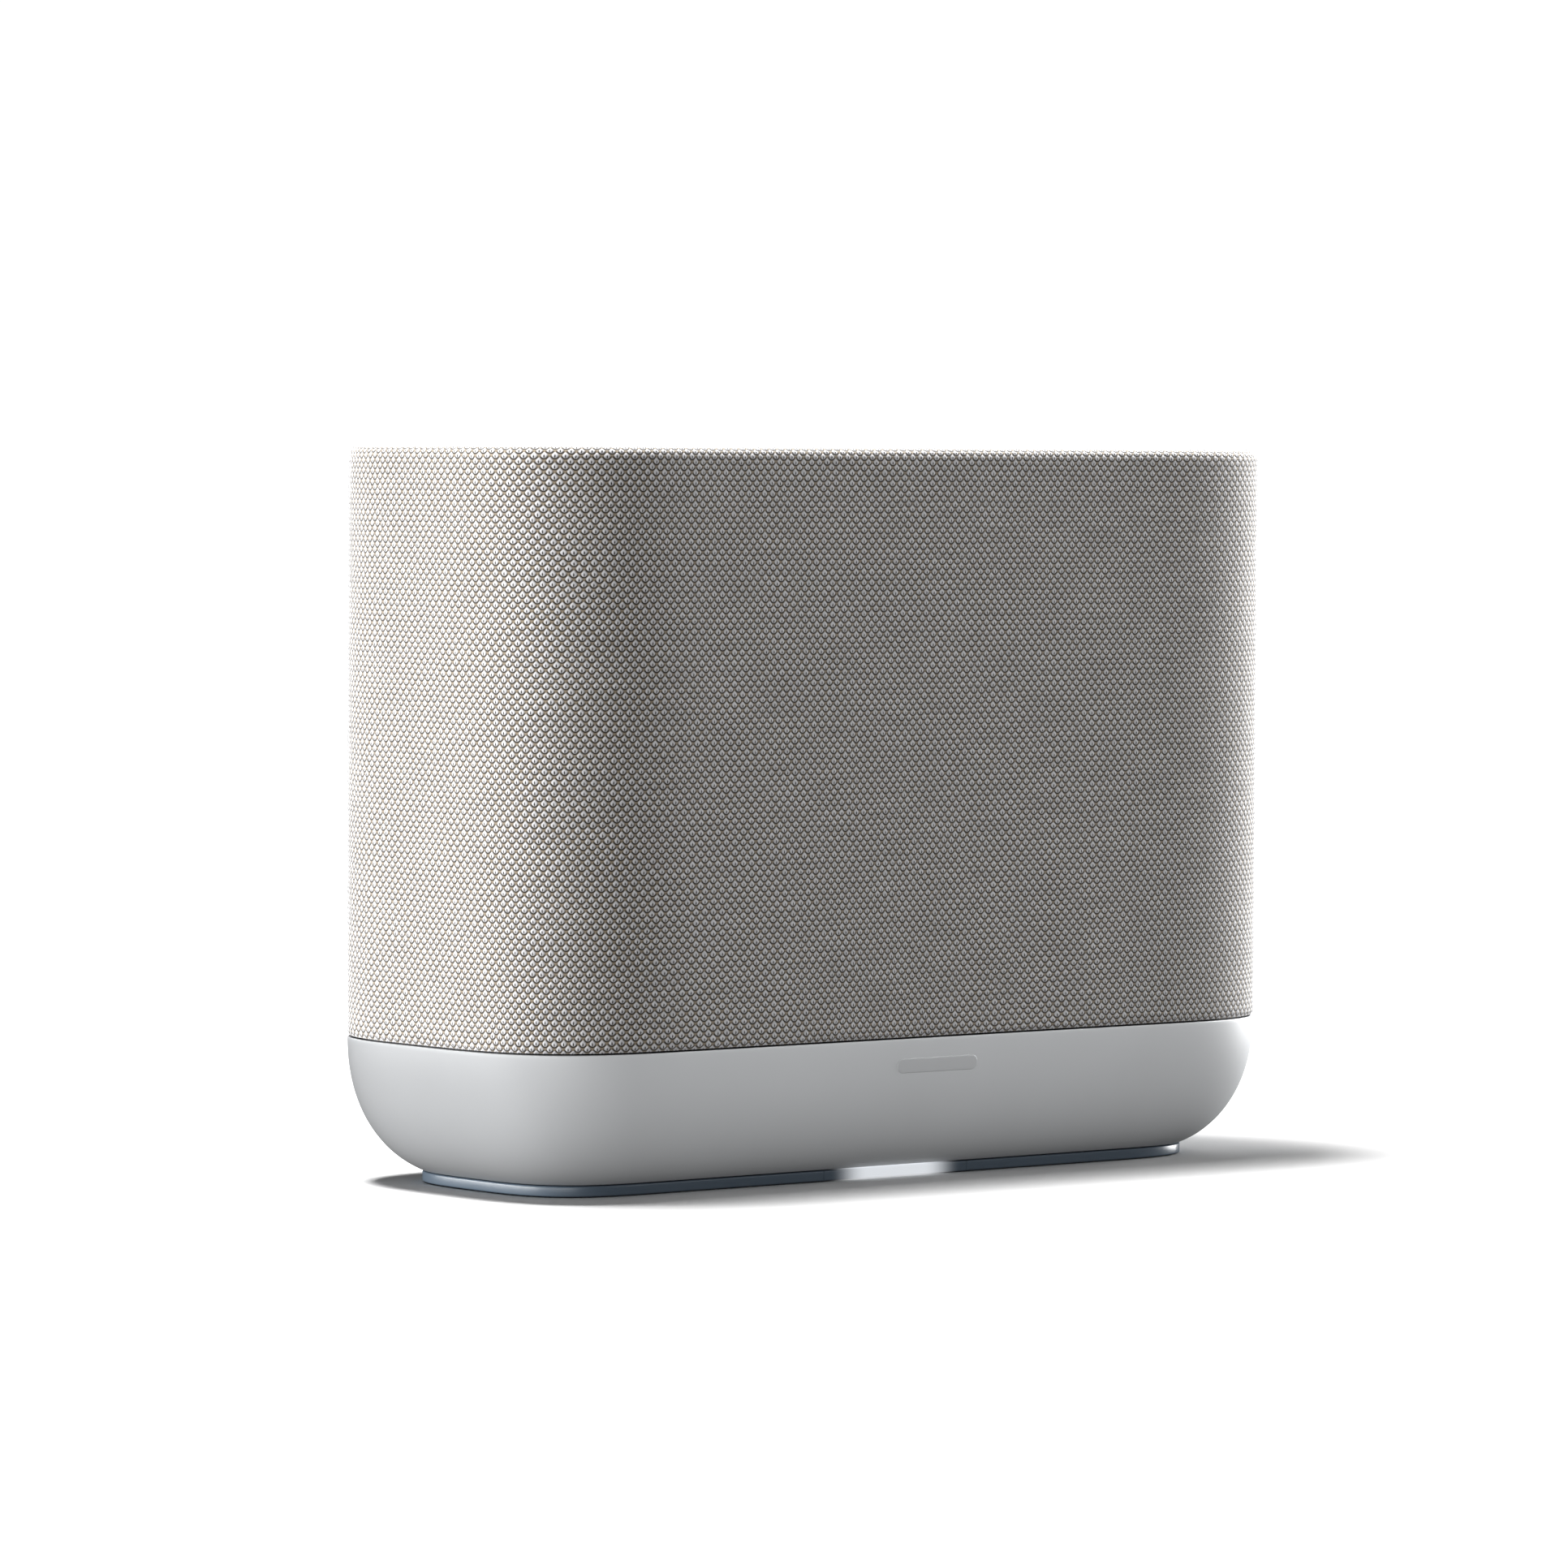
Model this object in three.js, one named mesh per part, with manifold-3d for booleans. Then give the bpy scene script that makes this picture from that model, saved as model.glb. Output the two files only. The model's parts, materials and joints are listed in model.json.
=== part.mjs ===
// Tabletop smart speaker: a knitted cover round a sealed cabinet with two woofers, two tweeters
// and a passive radiator, standing on a moulded bowl that holds the electronics.
// Millimetres. The front faces -Y, +X is to the right, +Z is up, and the origin is the middle
// of the footprint on the surface that the speaker stands on.

import * as THREE from 'three';
import { mergeVertices } from 'three/addons/utils/BufferGeometryUtils.js';
import Module from 'manifold-3d';

const wasm = await Module();
wasm.setup();

// ---------------------------------------------------------------- driving dimensions

const WIDTH = 295;
const DEPTH = 120;
const HEIGHT = 217;
const GAP = 0.3; // clearance between pieces that touch

// Plan outline: straight front and back, with superellipse ends.
const END = DEPTH / 2; // half-axes of each end
const END_POWER = 3.4;
const STRAIGHT = WIDTH / 2 - END; // half-length of the straight part
const END_STEPS = 7; // sides in each quarter of an end

// Heights of the stack.
const RING_TOP = 3.4; // foot ring
const SEAM = 43.3; // where bowl and fabric meet
const CABINET_TOP = 204;
const LID_TOP = HEIGHT - 0.7;

// Bowl of the base.
const BOWL_INSET = 19.4; // how far the bowl draws in from the seam to the foot ring
const BOWL_POWER = 2.16;
const BOWL_SHARE = 0.948; // part of the quarter curve that is used
const BOWL_WALL = 2.4;
const BOWL_STEPS = 7;
const FLANGE_INSET = 40; // inner edge of the flange at the bowl's foot
const FLANGE_THICK = 2;

// Fabric sleeve and the frame that carries it.
const FABRIC = 1.6;
const CREST = 2.4; // radius of the fabric's turn at the top
const CREST_INNER = 1.3; // chamfer of its inner face there
const LIP_INSET = 4.6; // how far the fabric reaches in over the top
const FRAME_WALL = 2.5;
const FRAME_CHAMFER = 1.2;
const SLOTS_FRONT_Z = 128; // middle of the rows of openings in front of the woofers

// Cabinet.
const CABINET_INSET = 14;
const CABINET_WALL = 4;
const BAFFLE_FRONT = -46; // Y of the face that the drivers are mounted on
const BAFFLE_THICK = 4;
const REAR_FACE = DEPTH / 2 - CABINET_INSET; // Y of the cabinet's outer rear face
const DECK_THICK = 3;

// Drivers.
const WOOFER_X = 58;
const WOOFER_Z = 104;
const WOOFER_HOLE = 48.5;
const TWEETER_X = 98;
const TWEETER_Z = 182;
const TWEETER_HOLE = 14.6;
const RADIATOR_Z = 124;
const RADIATOR_HOLE = 62;

// Connector bay at the back of the bowl.
const BAY_HALF = 66;
const BAY_LOW = 12;
const BAY_HIGH = 36.5;
const BAY_FLOOR = 41; // Y of the panel's outer face
const PANEL_THICK = 2;
const SOCKET_Z = 24;
const INLET_X = -47;
const NETWORK_X = -14;
const USB_X = 8;
const AUX_X = 26;
const CONNECT_X = 41;
const BLUETOOTH_X = 55;
const AUX_R = 3.8;
const BUTTON_R = 2.6;
const BUTTON_PROUD = 1.5;

// ---------------------------------------------------------------- finishes

const finish = (color, roughness, metalness = 0) =>
  new THREE.MeshStandardMaterial({ color, roughness, metalness });

const knit = finish(0xb4b6bc, 0.95);
const satinGrey = finish(0xcfd0d0, 0.5);
const slate = finish(0x3a3f44, 0.45);
const glow = finish(0xf4f6f8, 0.4);
const blackPlastic = finish(0x1c1d1f, 0.6);
const darkPlastic = finish(0x2b2d30, 0.65);
const rubber = finish(0x242526, 0.85);
const paperCone = finish(0x2e2f31, 0.8);
const silk = finish(0x3a3b3e, 0.7);
const ferrite = finish(0x4a4a4c, 0.6, 0.4);
const copper = finish(0xb06a3c, 0.4, 0.9);
const brass = finish(0xb8a070, 0.3, 0.9);
const steel = finish(0xb9bcc0, 0.35, 0.9);
const aluminium = finish(0xa8abae, 0.4, 0.8);
const boardGreen = finish(0x1d5a3a, 0.5);
const yellowTape = finish(0xc8a53a, 0.6);

// ---------------------------------------------------------------- solids

// Merge shared corners and make the faces point outwards.
function closed(geometry) {
  geometry.deleteAttribute('normal');
  geometry.deleteAttribute('uv');
  const merged = mergeVertices(geometry, 1e-4);
  const index = Array.from(merged.index.array);
  const position = merged.attributes.position;
  const a = new THREE.Vector3();
  const b = new THREE.Vector3();
  const c = new THREE.Vector3();
  const kept = [];
  let volume = 0;
  for (let i = 0; i < index.length; i += 3) {
    const [p, q, r] = index.slice(i, i + 3);
    if (p === q || q === r || r === p) continue;
    a.fromBufferAttribute(position, p);
    b.fromBufferAttribute(position, q);
    c.fromBufferAttribute(position, r);
    volume += a.dot(b.cross(c));
    kept.push(p, q, r);
  }
  if (volume < 0) kept.reverse();
  merged.setIndex(kept);
  return merged;
}

function solid(geometry) {
  const shape = closed(geometry);
  return new wasm.Manifold(new wasm.Mesh({
    numProp: 3,
    vertProperties: new Float32Array(shape.attributes.position.array),
    triVerts: new Uint32Array(shape.index.array),
  }));
}

function geometryOf(manifold) {
  const mesh = manifold.getMesh();
  const geometry = new THREE.BufferGeometry();
  geometry.setAttribute('position', new THREE.BufferAttribute(mesh.vertProperties, 3));
  geometry.setIndex(new THREE.BufferAttribute(mesh.triVerts, 1));
  return geometry;
}

// A block given by its lowest and highest corners.
function block(low, high) {
  const size = high.map((value, axis) => value - low[axis]);
  const middle = high.map((value, axis) => (value + low[axis]) / 2);
  return new THREE.BoxGeometry(...size).translate(...middle);
}

// A round bar along Y from y0 to y1.
function bar(radius, y0, y1, x, z, sides = 20) {
  return new THREE.CylinderGeometry(radius, radius, y1 - y0, sides)
    .translate(x, (y0 + y1) / 2, z);
}

// A round bar along Z from z0 to z1.
function post(radius, z0, z1, x, y, sides = 16) {
  return new THREE.CylinderGeometry(radius, radius, z1 - z0, sides)
    .rotateX(Math.PI / 2)
    .translate(x, y, (z0 + z1) / 2);
}

// A bar along Y with a rounded rectangle for its section.
function roundedTunnel(x, z, width, height, y0, y1, corner) {
  const shape = new THREE.Shape();
  const w = width / 2;
  const h = height / 2;
  shape.moveTo(w, -h + corner);
  shape.lineTo(w, h - corner);
  shape.absarc(w - corner, h - corner, corner, 0, Math.PI / 2);
  shape.lineTo(-w + corner, h);
  shape.absarc(-w + corner, h - corner, corner, Math.PI / 2, Math.PI);
  shape.lineTo(-w, -h + corner);
  shape.absarc(-w + corner, -h + corner, corner, Math.PI, 1.5 * Math.PI);
  shape.lineTo(w - corner, -h);
  shape.absarc(w - corner, -h + corner, corner, 1.5 * Math.PI, 2 * Math.PI);
  return new THREE.ExtrudeGeometry(shape, { depth: y1 - y0, bevelEnabled: false, curveSegments: 4 })
    .rotateX(Math.PI / 2)
    .translate(x, y1, z);
}

// A turned piece: [radius, height] points round the lathe's Y axis. A profile that does not
// start and end on the axis is closed on itself.
function turned(points, sides = 20) {
  const profile = points.map(([r, h]) => new THREE.Vector2(r, h));
  if (points[0][0] > 0) profile.push(profile[0].clone());
  return closed(new THREE.LatheGeometry(profile, sides));
}

// The plan outline, drawn in by inset, counter-clockwise from the front right.
function outline(inset) {
  const radius = END - inset;
  const points = [];
  for (const side of [1, -1]) {
    for (let i = -END_STEPS; i <= END_STEPS; i++) {
      const angle = (i / END_STEPS) * Math.PI / 2;
      const c = Math.cos(angle);
      const s = Math.sin(angle);
      const reach = radius / (Math.abs(c) ** END_POWER + Math.abs(s) ** END_POWER) ** (1 / END_POWER);
      points.push(new THREE.Vector2(side * (STRAIGHT + reach * c), side * reach * s));
    }
  }
  return points;
}

// A solid built of level rings of the plan outline, each an [inset, z] pair. As a loop its last
// ring joins its first, which makes a sleeve. Otherwise flat faces close the first and last rings.
function outlineLoft(rings, loop = false) {
  const positions = [];
  const index = [];
  const count = outline(0).length;
  for (const [inset, z] of rings) {
    for (const point of outline(inset)) positions.push(point.x, point.y, z);
  }
  const bands = loop ? rings.length : rings.length - 1;
  for (let band = 0; band < bands; band++) {
    const from = band * count;
    const to = ((band + 1) % rings.length) * count;
    for (let i = 0; i < count; i++) {
      const next = (i + 1) % count;
      index.push(from + i, from + next, to + next, from + i, to + next, to + i);
    }
  }
  if (!loop) {
    const last = (rings.length - 1) * count;
    for (let i = 1; i < count - 1; i++) {
      index.push(0, i + 1, i, last, last + i, last + i + 1);
    }
  }
  const geometry = new THREE.BufferGeometry();
  geometry.setAttribute('position', new THREE.Float32BufferAttribute(positions, 3));
  geometry.setIndex(index);
  return geometry;
}

// How far the bowl draws in at a share u of the way from the seam down to the foot ring.
function bowlInset(u) {
  const curve = (v) => 1 - (1 - v ** BOWL_POWER) ** (1 / BOWL_POWER);
  return BOWL_INSET * curve(u * BOWL_SHARE) / curve(BOWL_SHARE);
}

// The bowl's outer or inner profile from the seam down, as [inset, z] pairs. Steps get
// shorter towards the foot, where the curve is tightest.
function bowlProfile(wall, foot = RING_TOP + GAP) {
  const top = SEAM - GAP;
  const points = [];
  for (let i = 0; i <= BOWL_STEPS; i++) {
    const u = 1 - (1 - i / BOWL_STEPS) ** 1.5;
    const slope = (bowlInset(Math.min(u + 0.01, 1)) - bowlInset(Math.max(u - 0.01, 0)))
      / ((Math.min(u + 0.01, 1) - Math.max(u - 0.01, 0)) * (top - foot));
    const length = Math.hypot(1, slope);
    points.push([bowlInset(u) + wall / length, top - u * (top - foot) + wall * slope / length]);
  }
  return points;
}

// ---------------------------------------------------------------- the object

const speaker = new THREE.Group();

function add(name, geometry, material, parent = speaker) {
  const shape = geometry instanceof THREE.BufferGeometry ? closed(geometry) : geometryOf(geometry);
  const mesh = new THREE.Mesh(shape, material);
  mesh.name = name;
  parent.add(mesh);
  return mesh;
}

// ---- fabric sleeve, its frame and the lid

function sleeve() {
  const crest = [];
  for (let i = 0; i <= 4; i++) {
    const angle = (i / 4) * Math.PI / 2;
    crest.push([CREST * (1 - Math.cos(angle)), HEIGHT - CREST * (1 - Math.sin(angle))]);
  }
  return outlineLoft([
    [0, SEAM], ...crest, [LIP_INSET, HEIGHT],
    [LIP_INSET, HEIGHT - FABRIC], [FABRIC + CREST_INNER, HEIGHT - FABRIC],
    [FABRIC, HEIGHT - FABRIC - CREST_INNER], [FABRIC, SEAM],
  ], true);
}

function grilleFrame() {
  const outer = FABRIC + GAP;
  const inner = outer + FRAME_WALL;
  const top = HEIGHT - FABRIC - GAP;
  let frame = solid(outlineLoft([
    [outer, SEAM], [outer, top - FRAME_CHAMFER], [outer + FRAME_CHAMFER, top],
    [inner, top], [inner, SEAM],
  ], true));
  const slot = { width: 26, height: 24, pitchX: 30.5, pitchZ: 28.5 };
  const faces = [
    { side: -1, columns: 7, rows: 5, middle: SLOTS_FRONT_Z },
    { side: 1, columns: 4, rows: 4, middle: RADIATOR_Z },
  ];
  for (const { side, columns, rows, middle } of faces) {
    for (let column = 0; column < columns; column++) {
      for (let row = 0; row < rows; row++) {
        const x = (column - (columns - 1) / 2) * slot.pitchX;
        const z = middle + (row - (rows - 1) / 2) * slot.pitchZ;
        const near = side * (END - CABINET_INSET);
        const far = side * (END + 2);
        frame = frame.subtract(solid(block(
          [x - slot.width / 2, Math.min(near, far), z - slot.height / 2],
          [x + slot.width / 2, Math.max(near, far), z + slot.height / 2],
        )));
      }
    }
  }
  return frame;
}

const LID_INSET = LIP_INSET + GAP;
const LID_THICK = 3.6;
const LID_CHAMFER = 0.6;

function lid() {
  return outlineLoft([
    [LID_INSET, LID_TOP - LID_THICK], [LID_INSET, LID_TOP - LID_CHAMFER],
    [LID_INSET + LID_CHAMFER, LID_TOP],
  ]);
}

add('fabric_cover', sleeve(), knit);
add('grille_frame', grilleFrame(), darkPlastic);
add('top_plate', lid(), satinGrey);

const BOARD_THICK = 1.6;
const TOUCH_TOP = LID_TOP - LID_THICK - GAP;
const TOUCH_BOARD = { half: 62, halfDepth: 18 };
const ANTENNA = { x: 100, half: 16, front: 20, back: 32, top: CABINET_TOP + 2 };

add('touch_board', block(
  [-TOUCH_BOARD.half, -TOUCH_BOARD.halfDepth, TOUCH_TOP - BOARD_THICK],
  [TOUCH_BOARD.half, TOUCH_BOARD.halfDepth, TOUCH_TOP],
), boardGreen);
for (const [name, side] of [['left', -1], ['right', 1]]) {
  const x = side * ANTENNA.x;
  add(`antenna_${name}`, block(
    [x - ANTENNA.half, ANTENNA.front, CABINET_TOP + GAP], [x + ANTENNA.half, ANTENNA.back, ANTENNA.top],
  ), brass);
}

// ---- cabinet, baffle and deck

const DECK_TOP = SEAM - GAP;
const CABINET_LOW = DECK_TOP + GAP;
const MOUTH = { half: 112, back: -20, rim: 2 }; // opening behind the baffle
const BAFFLE_HALF = 118;
const DECK_INSET = BOWL_WALL + 0.5;
const CABLE_SLOT = { left: -140, right: -135, halfDepth: 9 };

function cabinet() {
  const shell = solid(outlineLoft([[CABINET_INSET, CABINET_LOW], [CABINET_INSET, CABINET_TOP]]));
  const inside = CABINET_INSET + CABINET_WALL;
  const hollow = solid(outlineLoft([
    [inside, CABINET_LOW + CABINET_WALL], [inside, CABINET_TOP - CABINET_WALL],
  ]));
  const openFront = solid(block(
    [-WIDTH, -DEPTH, CABINET_LOW - 1],
    [WIDTH, BAFFLE_FRONT + BAFFLE_THICK + GAP, CABINET_TOP + 1],
  ));
  const mouth = solid(block(
    [-MOUTH.half, -DEPTH, CABINET_LOW + CABINET_WALL + MOUTH.rim],
    [MOUTH.half, MOUTH.back, CABINET_TOP - CABINET_WALL - MOUTH.rim],
  ));
  const radiatorHole = solid(bar(RADIATOR_HOLE, 0, DEPTH, 0, RADIATOR_Z, 28));
  return shell.subtract(hollow).subtract(openFront).subtract(mouth).subtract(radiatorHole);
}

function baffle() {
  let plate = solid(block(
    [-BAFFLE_HALF, BAFFLE_FRONT, CABINET_LOW + 1],
    [BAFFLE_HALF, BAFFLE_FRONT + BAFFLE_THICK, CABINET_TOP - 1],
  ));
  for (const side of [-1, 1]) {
    plate = plate.subtract(solid(bar(WOOFER_HOLE, -DEPTH, 0, side * WOOFER_X, WOOFER_Z, 24)));
    plate = plate.subtract(solid(bar(TWEETER_HOLE, -DEPTH, 0, side * TWEETER_X, TWEETER_Z, 20)));
  }
  return plate;
}

function deck() {
  const plate = solid(outlineLoft([
    [DECK_INSET, DECK_TOP - DECK_THICK], [DECK_INSET, DECK_TOP],
  ]));
  const cableSlot = solid(block(
    [CABLE_SLOT.left, -CABLE_SLOT.halfDepth, 0], [CABLE_SLOT.right, CABLE_SLOT.halfDepth, DECK_TOP + 1],
  ));
  return plate.subtract(cableSlot);
}

add('acoustic_box', cabinet(), blackPlastic);
add('front_baffle', baffle(), blackPlastic);
add('deck_plate', deck(), darkPlastic);

// ---- drivers: turned pieces whose axis points out of the baffle

function mountDriver(x, y, z, facing) {
  const group = new THREE.Group();
  group.position.set(x, y, z);
  if (facing < 0) group.rotation.x = Math.PI;
  speaker.add(group);
  return group;
}

// Radii, and heights out of the baffle's front face.
const WOOFER = {
  flange: 52, seat: 44, flangeTop: 3, shelf: 37.4, shelfInner: 32.2, shelfTop: -16.8,
  back: -29.8, backOuter: 25.2, backHole: 13.5, wall: 1.9,
  coneRim: 36.5, coneTop: 2.4, coneThick: 1.3,
  coil: 11.2, coilInner: 10, coilTop: -12, coilLow: -40,
  motor: 30, motorBack: -50, gapOuter: 11.9, gapInner: 9.3, gapLow: -46, poleTop: -27,
};
const BASKET_WINDOW = { length: 120, height: 10, width: 20, middle: -8 };

function wooferBasket() {
  const w = WOOFER;
  let basket = solid(turned([
    [w.flange, w.flangeTop], [w.flange, GAP], [w.seat + w.wall, GAP],
    [w.shelf + w.wall, w.shelfTop - w.wall], [w.shelfInner + w.wall, w.shelfTop - w.wall],
    [w.backOuter + w.wall, w.back - w.wall], [w.backHole, w.back - w.wall],
    [w.backHole, w.back], [w.backOuter, w.back], [w.shelfInner, w.shelfTop],
    [w.shelf, w.shelfTop], [w.seat, w.flangeTop - w.wall], [w.seat, w.flangeTop],
  ]));
  const { length, height, width, middle } = BASKET_WINDOW;
  for (const turn of [0, 1]) {
    const opening = new THREE.BoxGeometry(length, height, width).translate(0, middle, 0)
      .rotateY(Math.PI / 4 + turn * Math.PI / 2);
    basket = basket.subtract(solid(opening));
  }
  return basket;
}

function wooferMotor() {
  const w = WOOFER;
  const front = w.back - w.wall - GAP;
  return turned([
    [0, w.motorBack], [w.motor, w.motorBack], [w.motor, front], [w.gapOuter, front],
    [w.gapOuter, w.gapLow], [w.gapInner, w.gapLow], [w.gapInner, w.poleTop], [0, w.poleTop],
  ]);
}

function wooferCone() {
  const w = WOOFER;
  return turned([
    [w.coilInner, w.coilTop + GAP], [w.coilInner + w.coneThick, w.coilTop + GAP],
    [w.coneRim, w.coneTop - w.coneThick], [w.coneRim, w.coneTop],
    [w.coneRim - w.coneThick, w.coneTop], [w.coilInner, w.coilTop + w.coneThick],
  ]);
}

function dustCap() {
  const outer = [[0, -3.2], [5, -3.7], [10, -5.3], [14, -7.8]];
  const inner = [[13.2, -7.8], [9.6, -6.1], [4.8, -4.5], [0, -4]];
  return turned([...outer, ...inner]);
}

const ROLL_STEPS = 4;

// A half-round roll between two flat lips at their own levels, one wall thick.
function rollSurround(lipInner, rollInner, rollOuter, lipOuter, level, lipLevel, height, wall) {
  const middle = (rollInner + rollOuter) / 2;
  const half = (rollOuter - rollInner) / 2;
  const upper = [];
  const lower = [];
  for (let i = 0; i <= ROLL_STEPS; i++) {
    const angle = Math.PI * (1 - i / ROLL_STEPS);
    const base = level + (lipLevel - level) * (i / ROLL_STEPS);
    upper.push([middle + half * Math.cos(angle), base + wall + height * Math.sin(angle)]);
    lower.push([middle + (half - wall) * Math.cos(angle), base + (height - wall * 0.6) * Math.sin(angle)]);
  }
  return turned([
    [lipInner, level + wall], ...upper, [lipOuter, lipLevel + wall], [lipOuter, lipLevel],
    ...lower.reverse(), [lipInner, level],
  ]);
}

const SPIDER = { folds: 6, depth: 1, wall: 0.6, rim: 4 };

// The corrugated cloth ring that centres the voice coil: folds, then a flat rim.
function spider() {
  const { folds, depth, wall, rim } = SPIDER;
  const inner = WOOFER.coil + GAP;
  const outer = WOOFER.shelf - GAP;
  const base = WOOFER.shelfTop + GAP;
  const upper = [];
  for (let i = 0; i <= folds; i++) {
    const radius = inner + (outer - inner - rim) * (i / folds);
    upper.push([radius, base + wall + (i % 2 === 0 ? 0 : depth)]);
  }
  upper.push([outer, base + wall]);
  const lower = upper.map(([r, h]) => [r, h - wall]).reverse();
  return turned([...upper, ...lower]);
}

function addWoofer(side, x) {
  const driver = mountDriver(x, BAFFLE_FRONT, WOOFER_Z, -1);
  const w = WOOFER;
  add(`woofer_${side}_basket`, wooferBasket(), blackPlastic, driver);
  add(`woofer_${side}_motor`, wooferMotor(), ferrite, driver);
  add(`woofer_${side}_cone`, wooferCone(), paperCone, driver);
  add(`woofer_${side}_dust_cap`, dustCap(), silk, driver);
  add(`woofer_${side}_voice_coil`, turned([
    [w.coilInner, w.coilLow], [w.coil, w.coilLow], [w.coil, w.coilTop], [w.coilInner, w.coilTop],
  ]), copper, driver);
  add(`woofer_${side}_surround`,
    rollSurround(35, 37, 44, 47.5, w.coneTop + GAP, w.flangeTop + GAP, 3.4, 0.7), rubber, driver);
  add(`woofer_${side}_spider`, spider(), yellowTape, driver);
}

// Profiles in radius, and height out of the mounting face.
const TWEETER_PROFILES = {
  // a flat flange with a short horn down to the dome
  faceplate: [[18, GAP], [18, 2.4], [17.4, 3], [15, 3], [10.4, 1], [10.4, GAP]],
  // a dome with a half-roll edge, on a voice coil
  dome: [
    [0, 5], [3.4, 4.5], [6.6, 3], [9, 0.8], [9.8, 1.2], [10, 0.6], [9.6, -0.4], [9.6, -6],
    [9.1, -6], [9.1, -0.4], [6.2, 2.4], [3.2, 3.9], [0, 4.4],
  ],
  // a magnet cup with a gap round its pole
  motor: [
    [0, -16], [13.8, -16], [13.8, -0.6], [10.2, -0.6], [10.2, -8], [8.5, -8], [8.5, -1.4], [0, -1.4],
  ],
};
const RADIATOR_SIDES = 28;
const RADIATOR_PROFILES = {
  // a flange screwed to the cabinet, with a sleeve through its wall
  frame: [[68, GAP], [68, 3], [60, 3], [60, -6], [61.6, -6], [61.6, GAP]],
  // a stiff disc with a weight behind its middle
  plate: [[0, -4], [26, -4], [26, -1.4], [47, 0], [47.5, 2.4], [44, 2.4], [26, 1.2], [0, 1.2]],
};

function addTweeter(side, x) {
  const driver = mountDriver(x, BAFFLE_FRONT, TWEETER_Z, -1);
  const { faceplate, dome, motor } = TWEETER_PROFILES;
  add(`tweeter_${side}_faceplate`, turned(faceplate), darkPlastic, driver);
  add(`tweeter_${side}_dome`, turned(dome), silk, driver);
  add(`tweeter_${side}_motor`, turned(motor), ferrite, driver);
}

function addRadiator() {
  const driver = mountDriver(0, REAR_FACE, RADIATOR_Z, 1);
  const { frame, plate } = RADIATOR_PROFILES;
  add('radiator_frame', turned(frame, RADIATOR_SIDES), blackPlastic, driver);
  add('radiator_plate', turned(plate, RADIATOR_SIDES), paperCone, driver);
  add('radiator_surround', rollSurround(45.5, 48.4, 60, 64, 2.7, 3.3, 3.4, 0.9), rubber, driver);
}

for (const [side, sign] of [['left', -1], ['right', 1]]) {
  addWoofer(side, sign * WOOFER_X);
  addTweeter(side, sign * TWEETER_X);
}
addRadiator();

// ---- base: bowl, foot ring, light guide, plates, pad and badge

const FLANGE_LOW = RING_TOP + GAP;
const FLANGE_TOP = FLANGE_LOW + FLANGE_THICK;
const RING_OUTER = BOWL_INSET; // the ring stands right under the bowl's foot
const RING_INNER = RING_OUTER + 5;
const RING_EDGE = 0.3;
const PAD_OUTER = RING_INNER + 1;
const PAD_INNER = RING_INNER + 7.5;
const PAD_TOP = 1.2;
const GUIDE_HALF = 28;
const RISER = { half: 18, front: -38.6, back: -36.8 };
const SCREWS = [[-84, -23], [84, -23], [-84, 23], [84, 23]];
const SCREW_HOLE = 1.9;
const SCREW_HEAD_HOLE = 3.2;
const SCREW_LOW = 1.4;
const BAY_WALL = 2.4; // wall of the tray that lines the connector bay
const BADGE = { width: 31, height: 4.4, z: 35, deep: 0.9 };

const outerBowl = () => solid(outlineLoft(bowlProfile(0)));

function badgePocket(margin) {
  const height = BADGE.height + 2 * margin;
  return solid(roundedTunnel(
    0, BADGE.z, BADGE.width + 2 * margin, height, -DEPTH, -END + 3, height / 2 - 0.01,
  ));
}

function bowl() {
  const outer = bowlProfile(0);
  const inner = bowlProfile(BOWL_WALL).filter(([, z]) => z > FLANGE_TOP + 1);
  const lastInset = inner[inner.length - 1][0];
  inner[0] = [BOWL_WALL, SEAM - GAP];
  let shell = solid(outlineLoft([
    ...outer, [FLANGE_INSET, FLANGE_LOW], [FLANGE_INSET, FLANGE_TOP],
    [lastInset + 1.2, FLANGE_TOP], ...inner.reverse(),
  ], true));
  const margin = BAY_WALL + GAP;
  shell = shell.subtract(solid(block(
    [-BAY_HALF - margin, 30, BAY_LOW - margin], [BAY_HALF + margin, DEPTH, BAY_HIGH + margin],
  )));
  shell = shell.subtract(solid(block(
    [-RISER.half - GAP, RISER.front - GAP, 0], [RISER.half + GAP, RISER.back + GAP, 10],
  )));
  for (const [x, y] of SCREWS) shell = shell.subtract(solid(post(SCREW_HOLE, 0, 10, x, y, 10)));
  const skin = solid(outlineLoft(bowlProfile(BADGE.deep)));
  const pocket = badgePocket(GAP).subtract(skin);
  return shell.subtract(pocket);
}

function badge() {
  const skin = solid(outlineLoft(bowlProfile(BADGE.deep - GAP)));
  return badgePocket(0).intersect(outerBowl()).subtract(skin);
}

function wholeRing() {
  return solid(outlineLoft([
    [RING_OUTER + RING_EDGE, GAP], [RING_OUTER, GAP + RING_EDGE],
    [RING_OUTER, RING_TOP - RING_EDGE], [RING_OUTER + RING_EDGE, RING_TOP],
    [RING_INNER, RING_TOP], [RING_INNER, GAP],
  ], true));
}

function footRing() {
  return wholeRing().subtract(solid(block([-GUIDE_HALF, -DEPTH, -1], [GUIDE_HALF, 0, 10])));
}

// The lit stretch of the ring, with a riser that takes in the light of the diodes above it.
function lightGuide() {
  const strip = solid(block([-GUIDE_HALF + GAP, -DEPTH, -1], [GUIDE_HALF - GAP, 0, 10]));
  const riser = solid(block(
    [-RISER.half, RISER.front, RING_TOP - 1], [RISER.half, RISER.back, FLANGE_TOP + 1],
  ));
  return wholeRing().intersect(strip).add(riser);
}

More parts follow.
